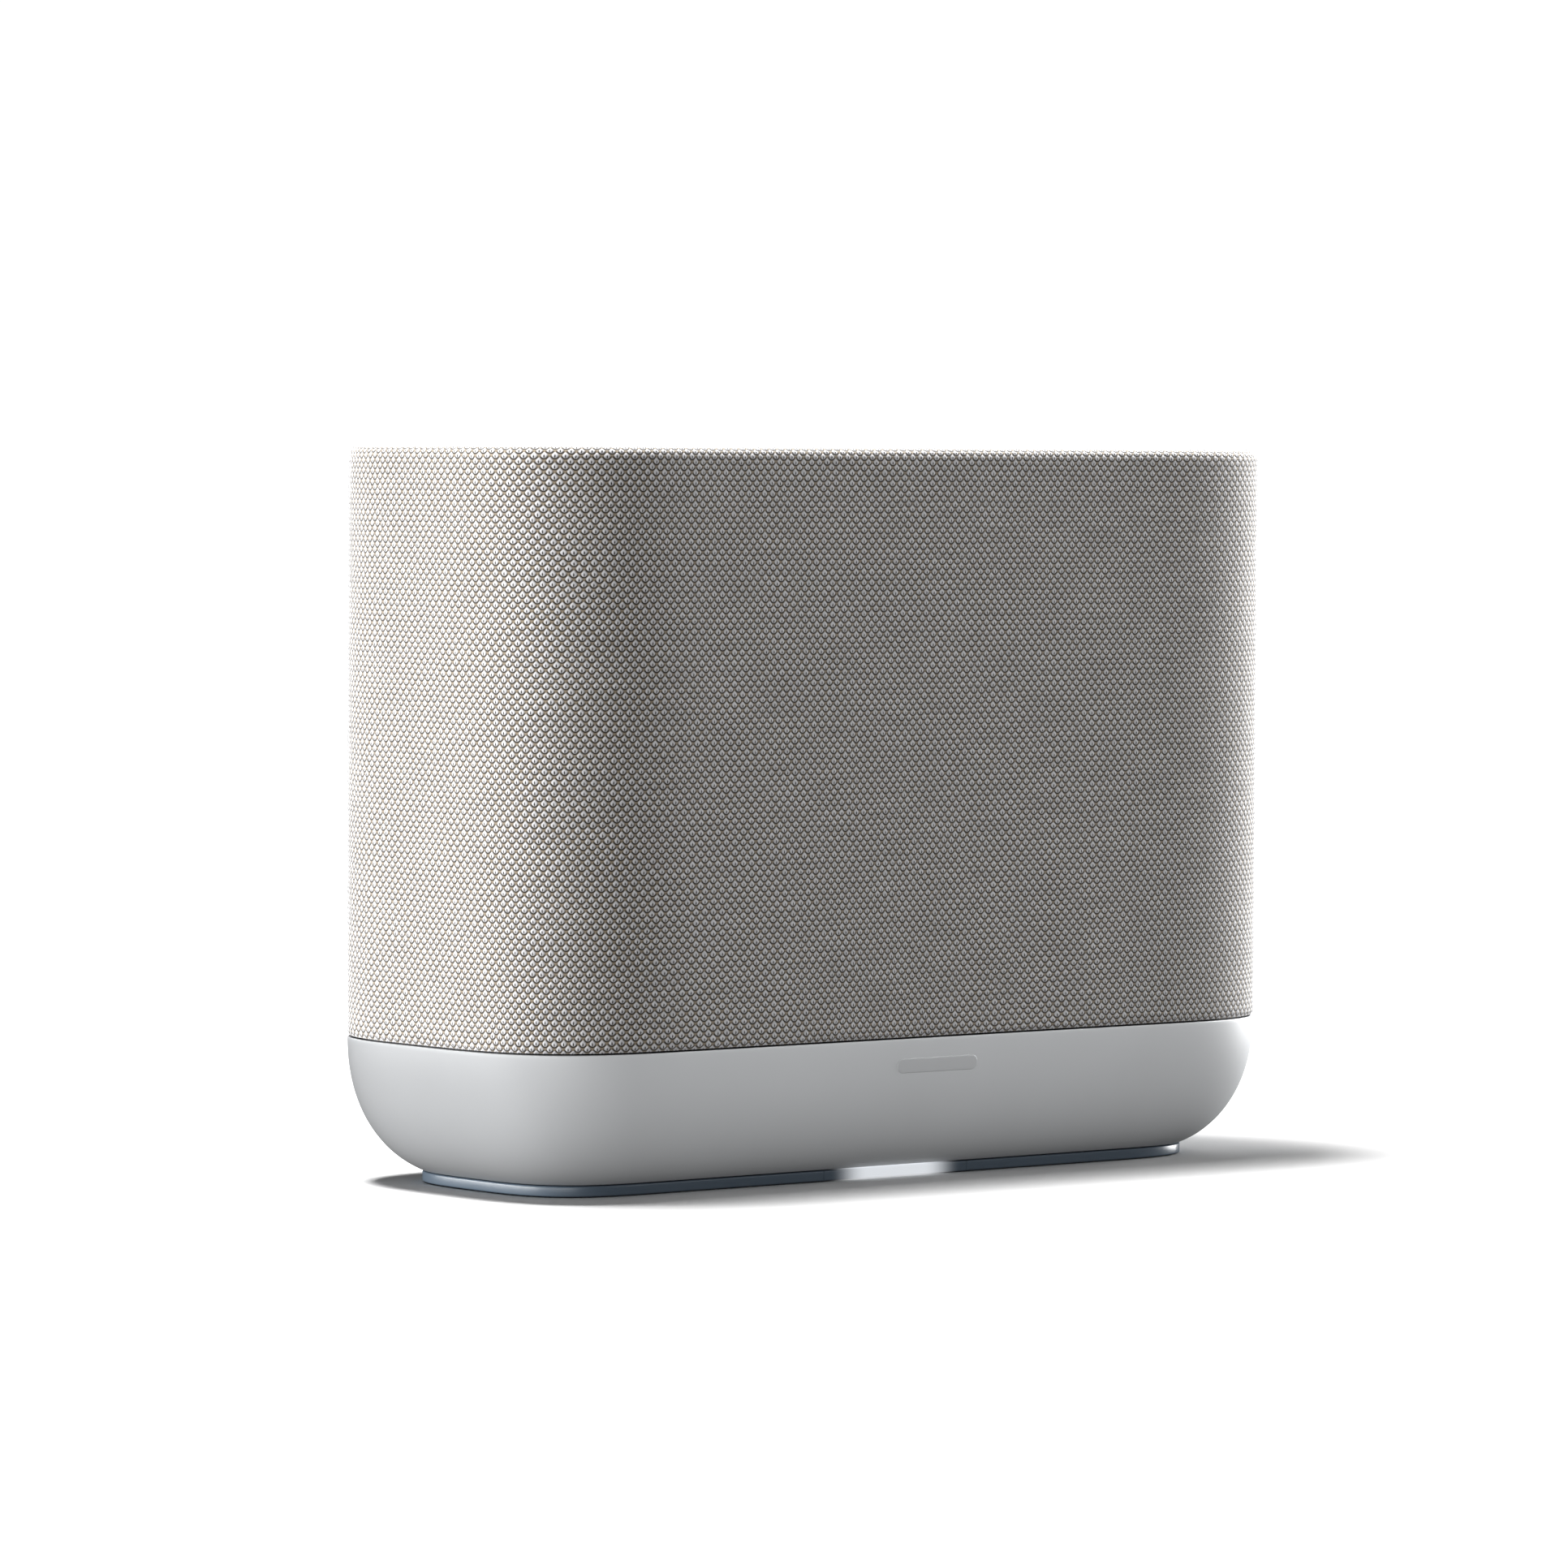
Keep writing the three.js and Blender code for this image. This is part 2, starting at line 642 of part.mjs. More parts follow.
function basePlate() {
  let plate = solid(outlineLoft([[RING_INNER + GAP, 1.5], [RING_INNER + GAP, RING_TOP]]));
  for (const [x, y] of SCREWS) {
    plate = plate.subtract(solid(post(SCREW_HEAD_HOLE, 0, 2.4, x, y, 10)));
    plate = plate.subtract(solid(post(SCREW_HOLE, 0, 10, x, y, 10)));
  }
  return plate;
}

function screw() {
  return turned([
    [0, 0], [2.6, 0], [2.9, 0.3], [2.9, 0.6], [1.6, 0.9], [1.6, 7.4], [0, 8.2],
  ], 10).rotateX(Math.PI / 2);
}

add('base_tub', bowl(), satinGrey);
add('badge_bar', badge(), steel);
add('foot_ring', footRing(), slate);
add('light_guide', lightGuide(), glow);
add('base_plate', basePlate(), darkPlastic);
add('foot_pad', outlineLoft([
  [PAD_OUTER, 0.2], [PAD_OUTER + 0.2, 0], [PAD_INNER, 0], [PAD_INNER, PAD_TOP], [PAD_OUTER, PAD_TOP],
], true), rubber);
SCREWS.forEach(([x, y], i) => {
  add(`base_screw_${i + 1}`, screw(), steel).position.set(x, y, SCREW_LOW);
});
add('status_led_board', block([-22, -40, FLANGE_TOP + 1.4], [22, -32, FLANGE_TOP + 2.8]), boardGreen);

// ---- connector bay: tray, sockets and buttons

const SOCKETS = {
  inlet: { x: INLET_X, width: 20.5, height: 12.5, back: 26, corner: 2 },
  network: { x: NETWORK_X, width: 16, height: 14, back: 24, corner: 0.6 },
  usb: { x: USB_X, width: 14.6, height: 7.2, back: 26, corner: 0.6 },
};

function tray() {
  let shell = solid(block(
    [-BAY_HALF - BAY_WALL, BAY_FLOOR - PANEL_THICK, BAY_LOW - BAY_WALL],
    [BAY_HALF + BAY_WALL, DEPTH, BAY_HIGH + BAY_WALL],
  )).intersect(outerBowl());
  shell = shell.subtract(solid(roundedTunnel(
    0, (BAY_LOW + BAY_HIGH) / 2, 2 * BAY_HALF, BAY_HIGH - BAY_LOW, BAY_FLOOR, DEPTH, 3,
  )));
  for (const { x, width, height, corner } of Object.values(SOCKETS)) {
    shell = shell.subtract(solid(roundedTunnel(
      x, SOCKET_Z, width + 2 * GAP, height + 2 * GAP, 0, DEPTH, corner,
    )));
  }
  shell = shell.subtract(solid(bar(AUX_R + GAP, 0, DEPTH, AUX_X, SOCKET_Z)));
  for (const x of [CONNECT_X, BLUETOOTH_X]) {
    shell = shell.subtract(solid(bar(BUTTON_R + GAP, 0, DEPTH, x, SOCKET_Z)));
  }
  return shell;
}

function inlet() {
  const { x, width, height, back, corner } = SOCKETS.inlet;
  const body = solid(roundedTunnel(x, SOCKET_Z, width, height, back, BAY_FLOOR + 1, corner));
  const left = solid(bar(4.2, back + 3, DEPTH, x - 4.2, SOCKET_Z));
  const right = solid(bar(4.2, back + 3, DEPTH, x + 4.2, SOCKET_Z));
  const waist = solid(block([x - 4.2, back + 3, SOCKET_Z - 4.1], [x + 4.2, DEPTH, SOCKET_Z + 4.1]));
  return body.subtract(left.add(right).add(waist));
}

function networkJack() {
  const { x, width, height, back, corner } = SOCKETS.network;
  const body = solid(roundedTunnel(x, SOCKET_Z, width, height, back, BAY_FLOOR + 0.4, corner));
  const mouth = solid(block([x - 5.9, back + 4, SOCKET_Z - 3.6], [x + 5.9, DEPTH, SOCKET_Z + 4.4]));
  const latch = solid(block([x - 3, back + 6, SOCKET_Z - 5.6], [x + 3, DEPTH, SOCKET_Z]));
  return body.subtract(mouth.add(latch));
}

function usbSocket() {
  const { x, width, height, back, corner } = SOCKETS.usb;
  const body = solid(roundedTunnel(x, SOCKET_Z, width, height, back, BAY_FLOOR + 0.6, corner));
  const mouth = solid(block([x - 6.3, back + 3, SOCKET_Z - 2.6], [x + 6.3, DEPTH, SOCKET_Z + 2.6]));
  const tongue = solid(block([x - 5.5, back + 1, SOCKET_Z + 0.2], [x + 5.5, BAY_FLOOR - 1, SOCKET_Z + 2]));
  return body.subtract(mouth).add(tongue);
}

function auxJack() {
  const face = BAY_FLOOR + 0.6;
  return turned([
    [1.8, 29], [AUX_R, 29], [AUX_R, face - 0.3], [AUX_R - 0.3, face], [2.2, face], [1.8, face - 0.4],
  ], 20);
}

function button() {
  const tip = BAY_FLOOR + BUTTON_PROUD;
  const shoulder = BAY_FLOOR - PANEL_THICK - GAP;
  const back = shoulder - 1.6;
  return turned([
    [0, back], [BUTTON_R + 1.4, back], [BUTTON_R + 1.4, shoulder], [BUTTON_R, shoulder],
    [BUTTON_R, tip - 0.4], [BUTTON_R - 0.4, tip], [0, tip],
  ], 20);
}

add('jack_panel', tray(), blackPlastic);
add('ac_inlet', inlet(), blackPlastic);
for (const [side, sign] of [['left', -1], ['right', 1]]) {
  const start = SOCKETS.inlet.back + 3 + GAP;
  add(`ac_pin_${side}`, bar(1.2, start, start + 9, INLET_X + sign * 4.3, SOCKET_Z, 12), brass);
}
add('network_jack', networkJack(), steel);
add('usb_socket', usbSocket(), steel);
add('aux_jack', auxJack(), blackPlastic).position.set(AUX_X, 0, SOCKET_Z);
add('connect_button', button(), satinGrey).position.set(CONNECT_X, 0, SOCKET_Z);
add('bluetooth_button', button(), satinGrey).position.set(BLUETOOTH_X, 0, SOCKET_Z);

// ---- electronics in the bowl

const BOARD_LOW = 10.4;
const BOARD_TOP = BOARD_LOW + BOARD_THICK;
const PART_LOW = BOARD_TOP + GAP;

function heatSink() {
  let fins = solid(block([60, -30, PART_LOW], [104, -6, PART_LOW + 19]));
  for (let i = 0; i < 6; i++) {
    const x = 63 + i * 6.6;
    fins = fins.subtract(solid(block([x, -40, PART_LOW + 4], [x + 4.4, 0, PART_LOW + 30])));
  }
  return fins;
}

function transformer() {
  const core = solid(block([-60, -24, PART_LOW], [-24, 8, PART_LOW + 17]));
  const winding = solid(block([-53, -29, PART_LOW + 3], [-31, 13, PART_LOW + 14]));
  return core.add(winding);
}

add('io_board', block([-62, 21.6, 14], [62, 23.2, 37]), boardGreen);
add('power_board', block([-112, -34, BOARD_LOW], [-12, 16, BOARD_TOP]), boardGreen);
add('main_board', block([12, -34, BOARD_LOW], [112, 16, BOARD_TOP]), boardGreen);
add('heat_sink', heatSink(), aluminium);
add('transformer', transformer(), yellowTape);
add('filter_capacitor', post(9, PART_LOW, PART_LOW + 22, -84, -16, 24), darkPlastic);
add('wifi_shield', block([20, -26, PART_LOW], [48, -6, PART_LOW + 3.4]), steel);

// A flat cable runs up the left side of the cabinet and over it to the touch board.
function touchCable() {
  const shape = new THREE.Shape();
  const thick = 0.6;
  const wall = (CABLE_SLOT.left + CABLE_SLOT.right) / 2 - 0.1;
  const top = CABINET_TOP + 3.4;
  shape.moveTo(wall, 16);
  shape.lineTo(wall + thick, 16);
  shape.lineTo(wall + thick, top - 4);
  shape.absarc(wall + thick + 3, top - 4, 3, Math.PI, Math.PI / 2, true);
  shape.lineTo(-64, top - 1);
  shape.lineTo(-64, top - 1 + thick);
  shape.lineTo(wall + thick + 3, top - 1 + thick);
  shape.absarc(wall + thick + 3, top - 4, 3 + thick, Math.PI / 2, Math.PI, false);
  return new THREE.ExtrudeGeometry(shape, { depth: 12, bevelEnabled: false, curveSegments: 4 })
    .rotateX(Math.PI / 2)
    .translate(0, 6, 0);
}
add('touch_cable', touchCable(), copper);

export default speaker;
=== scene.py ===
# %% [markdown]
# # A tabletop smart speaker
# The speaker is a knit-covered cabinet on a moulded bowl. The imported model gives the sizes, the
# places and the motion. This lesson adds what a solid model leaves out: the stitches of the knit,
# the soft edges of the mouldings, the light in the foot ring, and a finish for every part.

import json
import math

import bpy
import numpy as np
from mathutils import Matrix, Vector


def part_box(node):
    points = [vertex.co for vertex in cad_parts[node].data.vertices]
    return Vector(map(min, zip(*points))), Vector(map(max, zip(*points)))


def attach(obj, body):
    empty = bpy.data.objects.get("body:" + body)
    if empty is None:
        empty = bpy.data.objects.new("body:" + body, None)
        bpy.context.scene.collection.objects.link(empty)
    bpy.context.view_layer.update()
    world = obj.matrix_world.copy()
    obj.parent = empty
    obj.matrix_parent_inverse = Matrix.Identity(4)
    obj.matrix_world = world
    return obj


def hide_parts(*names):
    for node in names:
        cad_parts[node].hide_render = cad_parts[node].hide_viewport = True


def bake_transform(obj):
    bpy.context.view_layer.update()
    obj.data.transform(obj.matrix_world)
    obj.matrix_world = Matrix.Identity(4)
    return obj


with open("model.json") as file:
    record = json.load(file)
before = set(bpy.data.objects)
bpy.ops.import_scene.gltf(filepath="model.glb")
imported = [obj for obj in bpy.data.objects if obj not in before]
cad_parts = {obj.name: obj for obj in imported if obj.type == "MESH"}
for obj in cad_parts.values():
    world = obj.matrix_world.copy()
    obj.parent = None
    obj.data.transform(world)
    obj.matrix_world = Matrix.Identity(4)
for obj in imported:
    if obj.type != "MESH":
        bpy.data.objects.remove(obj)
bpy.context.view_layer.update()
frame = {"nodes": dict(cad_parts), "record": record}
nodes = frame["nodes"]

# %% [markdown]
# ## Sizes
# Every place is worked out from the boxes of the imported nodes. The plan outline is a straight front
# and back with rounded ends. Each end is a superellipse, (x/a)^p + (y/a)^p = 1, which is squarer
# than a half circle and has no visible join with the straight part.

# %% Read the driving sizes
MM = 0.001
cover_low, cover_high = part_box("fabric_cover")
tub_low, tub_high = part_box("base_tub")
ring_low, ring_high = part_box("foot_ring")
lid_low, lid_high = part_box("top_plate")

END = cover_high.y
STRAIGHT = cover_high.x - END
END_POWER = 3.4
SEAM = cover_low.z
CREST = cover_high.z
print("half-length", round(END + STRAIGHT, 4), "half-depth", round(END, 4), "top", round(CREST, 4))


# %% Plan outline
def end_shape(angle):
    """Unit superellipse in polar form: reach = (|cos|^p + |sin|^p)^(-1/p) along each angle."""
    c, s = np.cos(angle), np.sin(angle)
    reach = (np.abs(c) ** END_POWER + np.abs(s) ** END_POWER) ** (-1 / END_POWER)
    return np.stack([reach * c, reach * s], axis=-1)


def dense_outline(steps=4000):
    """Spine points and unit offsets of the closed outline, anticlockwise from the middle of the back.

    A point of the outline drawn in by d is spine + (END - d) * offset. The spine is the segment
    between the centres of the two ends, and along the straight parts the offset is (0, +1) or (0, -1).
    """
    quarter = np.linspace(0, np.pi / 2, steps)
    left = end_shape(np.pi / 2 + np.concatenate([quarter, np.pi / 2 + quarter[1:]]))
    right = -left
    along = np.linspace(0, 1, steps)[:, None]
    span = np.array([STRAIGHT, 0.0])
    back, front = np.array([[0.0, 1.0]]), np.array([[0.0, -1.0]])
    spine = [-span * along, np.repeat([-span], len(left), 0), -span + 2 * span * along,
             np.repeat([span], len(right), 0), span - span * along]
    offset = [np.repeat(back, steps, 0), left, np.repeat(front, steps, 0), right,
              np.repeat(back, steps, 0)]
    return np.concatenate(spine), np.concatenate(offset)


DENSE_SPINE, DENSE_OFFSET = dense_outline()
DENSE_POINTS = DENSE_SPINE + END * DENSE_OFFSET
DENSE_LENGTH = np.concatenate([[0], np.cumsum(np.linalg.norm(np.diff(DENSE_POINTS, axis=0), axis=1))])
PERIMETER = DENSE_LENGTH[-1]


def plan_at(distance):
    """Spine and offset at distances round the outline, by interpolating the dense outline."""
    distance = np.mod(distance, PERIMETER)
    dense = np.concatenate([DENSE_SPINE, DENSE_OFFSET], axis=1)
    found = np.stack([np.interp(distance, DENSE_LENGTH, values) for values in dense.T], axis=-1)
    return found[..., :2], found[..., 2:]


def plan_normals(distance, step=0.0004):
    """Outward unit normals of the outline: the tangent turned a quarter turn clockwise."""
    spine, offset = plan_at(distance + step)
    spine_back, offset_back = plan_at(distance - step)
    tangent = spine + END * offset - spine_back - END * offset_back
    tangent /= np.linalg.norm(tangent, axis=-1, keepdims=True)
    return np.stack([tangent[..., 1], -tangent[..., 0]], axis=-1)


def distance_at(x, front=True):
    """Distance round the outline to the point of the straight front or back at x."""
    left_end = (PERIMETER - 4 * STRAIGHT) / 2
    if front:
        return STRAIGHT + left_end + (x + STRAIGHT)
    return np.mod(-x, PERIMETER)


print("perimeter", round(PERIMETER, 4))

# %% [markdown]
# ## Surfaces from grids
# Most pieces are a grid of points: a profile carried round the outline, or a profile turned about
# an axis. Each grid closes on itself where the shape does, so no seam is left open.


# %% Mesh helpers
def grid_faces(rows, columns, close_rows, close_columns):
    """Quads of a grid whose point (r, c) has index r * columns + c. Closed directions wrap round."""
    r = np.arange(rows if close_rows else rows - 1)[:, None]
    c = np.arange(columns if close_columns else columns - 1)[None, :]
    r_next, c_next = (r + 1) % rows, (c + 1) % columns
    corners = [r * columns + c, r * columns + c_next, r_next * columns + c_next, r_next * columns + c]
    return np.stack(np.broadcast_arrays(*corners), axis=-1).reshape(-1, 4)


def make_object(name, points, faces, smooth=True):
    """An object with its place in its mesh, from points (n, 3) and a list or array of faces."""
    mesh = bpy.data.meshes.new(name)
    corners = np.asarray(points, float).reshape(-1, 3).tolist()
    mesh.from_pydata(corners, [], [list(map(int, face)) for face in faces])
    mesh.polygons.foreach_set("use_smooth", np.full(len(mesh.polygons), smooth))
    mesh.update()
    piece = bpy.data.objects.new(name, mesh)
    bpy.context.scene.collection.objects.link(piece)
    return piece


def face_outwards(piece):
    """Turn all faces over if the closed mesh's signed volume, the sum of a . (b x c) / 6, is negative."""
    mesh = piece.data
    mesh.calc_loop_triangles()
    index = np.zeros(len(mesh.loop_triangles) * 3, np.int32)
    mesh.loop_triangles.foreach_get("vertices", index)
    points = np.zeros(len(mesh.vertices) * 3)
    mesh.vertices.foreach_get("co", points)
    a, b, c = points.reshape(-1, 3)[index.reshape(-1, 3)].transpose(1, 0, 2)
    if (a * np.cross(b, c)).sum() < 0:
        mesh.flip_normals()
    return piece


def swept_grid(insets, heights, spine, offset):
    """Points of a profile of (inset, height) pairs carried round outline positions: (rows, columns, 3)."""
    insets, heights = np.asarray(insets), np.asarray(heights)
    plan = spine + (END - insets)[:, None, None] * offset
    level = np.broadcast_to(heights[:, None, None], plan.shape[:2] + (1,))
    return np.concatenate([plan, level], axis=-1)


def arc(centre, radius, start, end, steps):
    """Points of a circular arc in the profile plane, from one angle to another in degrees."""
    angle = np.radians(np.linspace(start, end, steps))
    return [(centre[0] + radius * math.cos(a), centre[1] + radius * math.sin(a)) for a in angle]


# %% [markdown]
# ## Materials
# Colours are written as sRGB hex values, the way a paint or moulding is matched, and one
# function turns them to the linear values that the shader mixes. One small function adds a node
# with its settings and its links, so that each material below reads as a list of steps.


# %% Material helpers
def linear(colour):
    """sRGB hex to linear RGBA: c/12.92 below 0.04045, otherwise ((c + 0.055)/1.055)^2.4."""
    values = [int(colour[i:i + 2], 16) / 255 for i in (1, 3, 5)]
    return tuple(v / 12.92 if v <= 0.04045 else ((v + 0.055) / 1.055) ** 2.4 for v in values) + (1.0,)


def add_node(tree, kind, settings=(), inputs=()):
    """A new node: settings are its attributes; inputs are values, or sockets to link, by name or number."""
    made = tree.nodes.new(kind)
    for key, value in dict(settings).items():
        setattr(made, key, value)
    for key, value in dict(inputs).items():
        if isinstance(value, bpy.types.NodeSocket):
            tree.links.new(value, made.inputs[key])
        else:
            made.inputs[key].default_value = value
    return made


def new_material(name, **shader_values):
    """A material with one Principled shader, whose plain values are set on its own sockets."""
    material = bpy.data.materials.new(name)
    material.use_nodes = True
    shader = material.node_tree.nodes["Principled BSDF"]
    for key, value in shader_values.items():
        shader.inputs[key.replace("_", " ")].default_value = value
    return material, material.node_tree, shader


def use(piece, material):
    """Give a piece one material in place of what it has."""
    piece.data.materials.clear()
    piece.data.materials.append(material)


RIM_ANGLE = 50  # degrees between two faces that share a crisp rim
SWAY_SPACING = 40  # millimetres between the faint light and dark patches of a moulding


def crisp_rims(piece):
    """Shade a piece smooth except across its sharp rims."""
    split = piece.modifiers.new("crisp rims", "EDGE_SPLIT")
    split.split_angle = math.radians(RIM_ANGLE)


def moulded_plastic(name, colour, roughness, grain=0.25, depth=0.02, sway=0.02):
    """A matt surface with a fine grain: its width and depth are in millimetres, and sway varies its shade."""
    material, tree, shader = new_material(name, IOR=1.46, Roughness=roughness)
    place = add_node(tree, "ShaderNodeTexCoord").outputs["Object"]
    fine = add_node(tree, "ShaderNodeTexNoise", (), {
        "Vector": place, "Scale": 1 / (grain * MM), "Detail": 2.0})
    broad = add_node(tree, "ShaderNodeTexNoise", (), {
        "Vector": place, "Scale": 1 / (SWAY_SPACING * MM), "Detail": 3.0})
    shade = add_node(tree, "ShaderNodeMapRange", (), {
        "Value": broad.outputs[0], "From Min": 0.3, "From Max": 0.7, "To Min": 1 - sway, "To Max": 1 + sway})
    tint = add_node(tree, "ShaderNodeVectorMath", {"operation": "SCALE"}, {
        0: linear(colour)[:3], "Scale": shade.outputs[0]})
    tree.links.new(tint.outputs[0], shader.inputs["Base Color"])
    bump = add_node(tree, "ShaderNodeBump", (), {
        "Height": fine.outputs[0], "Distance": depth * MM, "Strength": 0.6})
    tree.links.new(bump.outputs[0], shader.inputs["Normal"])
    return material

# %% [markdown]
# ## Camera
# The camera stands far off with a long lens, at the height of the top edge, so that the top is seen
# edge on and the outline hardly converges.

# %% Place the camera
CAMERA_AZIMUTH = math.radians(-39.35)
CAMERA_DISTANCE = 2.304
CAMERA_HEIGHT = 0.2162
SENSOR = 36.0
LENS = 175.5
AIM_RIGHT, AIM_DOWN = -0.0036, 0.0436
ROLL = 0.0052

forward = Vector((-math.sin(CAMERA_AZIMUTH), math.cos(CAMERA_AZIMUTH), 0))
rightward = Vector((math.cos(CAMERA_AZIMUTH), math.sin(CAMERA_AZIMUTH), 0))
aim = (forward + rightward * AIM_RIGHT - Vector((0, 0, AIM_DOWN))).normalized()
camera_data = bpy.data.cameras.new("camera")
camera_data.lens, camera_data.sensor_width = LENS, SENSOR
camera = bpy.data.objects.new("camera", camera_data)
bpy.context.scene.collection.objects.link(camera)
camera.rotation_mode = "QUATERNION"
camera.location = -forward * CAMERA_DISTANCE + Vector((0, 0, CAMERA_HEIGHT))
camera.rotation_quaternion = aim.to_track_quat("-Z", "Y") @ Matrix.Rotation(ROLL, 3, "Z").to_quaternion()
bpy.context.scene.camera = camera
print("camera at", [round(v, 3) for v in camera.location])

# %% [markdown]
# ## Knitted cover
# The cover is a warp knit: staggered rows of small loops, each an arch of pale yarn with a slit
# under it, over beige ground threads. It is stretched round the frame, turned over the top
# edge and tucked in at the lid and at the seam. Thirty thousand modelled loops would be too
# heavy, so the mesh gives each loop one raised point, which makes the edge serrated as real knit
# is, and the shader draws the yarn inside each cell and paints the shade in its slits and grooves.

# %% Knit sizes
LOOPS_ROUND = 258
LOOP_HEIGHT = 3.05 * MM
CELL_WIDTH = PERIMETER / LOOPS_ROUND
CLOTH = 1.4 * MM
RELIEF = 0.15 * MM
PULL_WAVES = 6
PULL_LOW, PULL_HIGH = 0.13, -0.06
PULL_PLACE = -88 * MM
CHART_SHARE = 0.9  # how much of the UV map's height the outer face takes
INNER_CHART = (0.93, 0.98)  # the part of that height that the inner face takes
INNER_BEND = 1.2 * MM
INNER_LIFT = 0.25 * MM
HEM_LIFT = 0.15 * MM
HEM_RADIUS = 0.8 * MM
CREST_RADIUS = 2.4 * MM
LIP = 4.5 * MM
LIP_DROP = 0.1 * MM
print("loop cell", round(CELL_WIDTH / MM, 2), "x", round(LOOP_HEIGHT / MM, 2), "mm")


# %% Cover shape
def cover_profile(step):
    """Outer face of the cloth from the hem to the lip, resampled evenly.

    Returns the inset, the height, the lean of the normal and the length along the profile.
    """
    foot = SEAM + HEM_LIFT
    corners = arc((HEM_RADIUS, foot + HEM_RADIUS), HEM_RADIUS, 250, 180, 8)
    corners += arc((CREST_RADIUS, CREST - CREST_RADIUS), CREST_RADIUS, 180, 90, 12)
    corners += [(LIP, CREST - LIP_DROP)]
    path = np.array(corners)
    length = np.concatenate([[0], np.cumsum(np.linalg.norm(np.diff(path, axis=0), axis=1))])
    count = int(round(length[-1] / step)) + 1
    place = np.linspace(0, length[-1], count)
    inset = np.interp(place, length, path[:, 0])
    height = np.interp(place, length, path[:, 1])
    slope = np.gradient(np.stack([inset, height], axis=-1), axis=0)
    return inset, height, np.arctan2(slope[:, 0], slope[:, 1]), place


def pulled(distance, height):
    """Distances of the loops after stretching: the pitch varies as 1 + p cos(2 pi n s / length).

    The share p goes from one value at the seam to another at the top, so the columns lean a little,
    as cloth does when it is pulled over a frame by hand.
    """
    share = (height - SEAM) / (CREST - SEAM)
    pull = PULL_LOW + (PULL_HIGH - PULL_LOW) * share[:, None]
    wave = 2 * np.pi * PULL_WAVES / PERIMETER
    return distance + pull / wave * np.sin(wave * (distance - distance_at(PULL_PLACE)))


def knit_cover(name):
    """A closed sleeve: outer cloth with one raised point per loop, and a plain inner face.

    Grid points stand half a loop apart both ways. Where row plus column is even a loop stands up,
    elsewhere the cloth dips, and each quad is split between its two low corners.
    """
    inset, height, lean, place = cover_profile(LOOP_HEIGHT / 2)
    rows, columns = len(inset), 2 * LOOPS_ROUND
    even_spacing = np.arange(columns) * PERIMETER / columns
    distance = pulled(even_spacing, height)
    spine, offset = plan_at(distance)
    outward = plan_normals(distance)
    outer = swept_grid(inset, height, spine, offset)
    parity = (np.arange(rows)[:, None] + np.arange(columns)[None]) % 2
    rise = np.where(parity == 0, RELIEF, -RELIEF)[..., None]
    rise[0] = rise[-1] = 0
    flat = np.cos(lean)[:, None, None] * outward
    up = np.broadcast_to(np.sin(lean)[:, None, None], flat.shape[:2] + (1,))
    outer = outer + rise * np.concatenate([flat, up], axis=-1)
    inner_inset = [LIP, CLOTH + INNER_BEND, CLOTH, CLOTH]
    inner_top = CREST - CLOTH
    inner_height = np.array([inner_top, inner_top, inner_top - INNER_BEND, SEAM + INNER_LIFT])
    inner_spine, inner_offset = plan_at(pulled(even_spacing, inner_height))
    inner = swept_grid(inner_inset, inner_height, inner_spine, inner_offset)
    points = np.concatenate([outer, inner]).reshape(-1, 3)
    total = rows + len(inner_inset)
    r, c = np.meshgrid(np.arange(total), np.arange(columns), indexing="ij")
    quads = np.stack([r * columns + c, r * columns + (c + 1) % columns,
                      (r + 1) % total * columns + (c + 1) % columns, (r + 1) % total * columns + c], axis=-1)
    even = ((r + c) % 2 == 0)[..., None]
    first = np.where(even, quads[..., [0, 1, 3]], quads[..., [0, 1, 2]])
    second = np.where(even, quads[..., [1, 2, 3]], quads[..., [0, 2, 3]])
    piece = make_object(name, points, np.stack([first, second], axis=2).reshape(-1, 3))
    inner_share = np.linspace(*INNER_CHART, len(inner_inset))
    along = np.concatenate([np.linspace(0, CHART_SHARE, rows), inner_share, [1.0]])
    corner_v = np.stack([along[r], along[r], along[r + 1], along[r + 1]], axis=-1)
    corner_u = np.stack([c, c + 1, c + 1, c], axis=-1) / columns
    uv = np.stack([corner_u, corner_v], axis=-1)
    first = np.where(even[..., None], uv[:, :, [0, 1, 3]], uv[:, :, [0, 1, 2]])
    second = np.where(even[..., None], uv[:, :, [1, 2, 3]], uv[:, :, [0, 2, 3]])
    layer = piece.data.uv_layers.new(name="OFBake")
    layer.data.foreach_set("uv", np.stack([first, second], axis=2).ravel())
    return face_outwards(piece), place[-1], rows


cover, cloth_length, cover_rows = knit_cover("knit_cover")
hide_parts("fabric_cover")
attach(cover, "cabinet")
print("cover triangles", len(cover.data.polygons), "cut length", round(cloth_length, 4))


# %% [markdown]
# ## Yarn
# One loop is drawn in its own cell, as a distance e from the loop's middle: 1 on its outline. The
# loop is a dome, sqrt(1 - e^2), narrowed towards its top. A slit shows where the yarn parts, and a
# groove follows the lower half of the outline, where the loop dives under the ground threads. Both
# are sunk in the bump, and the shade that falls in them is painted into the colour, near black. The
# same loop is drawn twice, half a cell apart both ways.

# %% Loop drawing
LOOP_HALF = 0.33  # half-width and half-height of a loop, as shares of its cell
LOOP_TALL = 0.31
LOOP_RAISE = 0.06
LOOP_TAPER = 0.55
SLIT_HALF = 0.085
SLIT_TALL = 0.2
SLIT_DROP = -0.06
GROOVE_END = 1.65


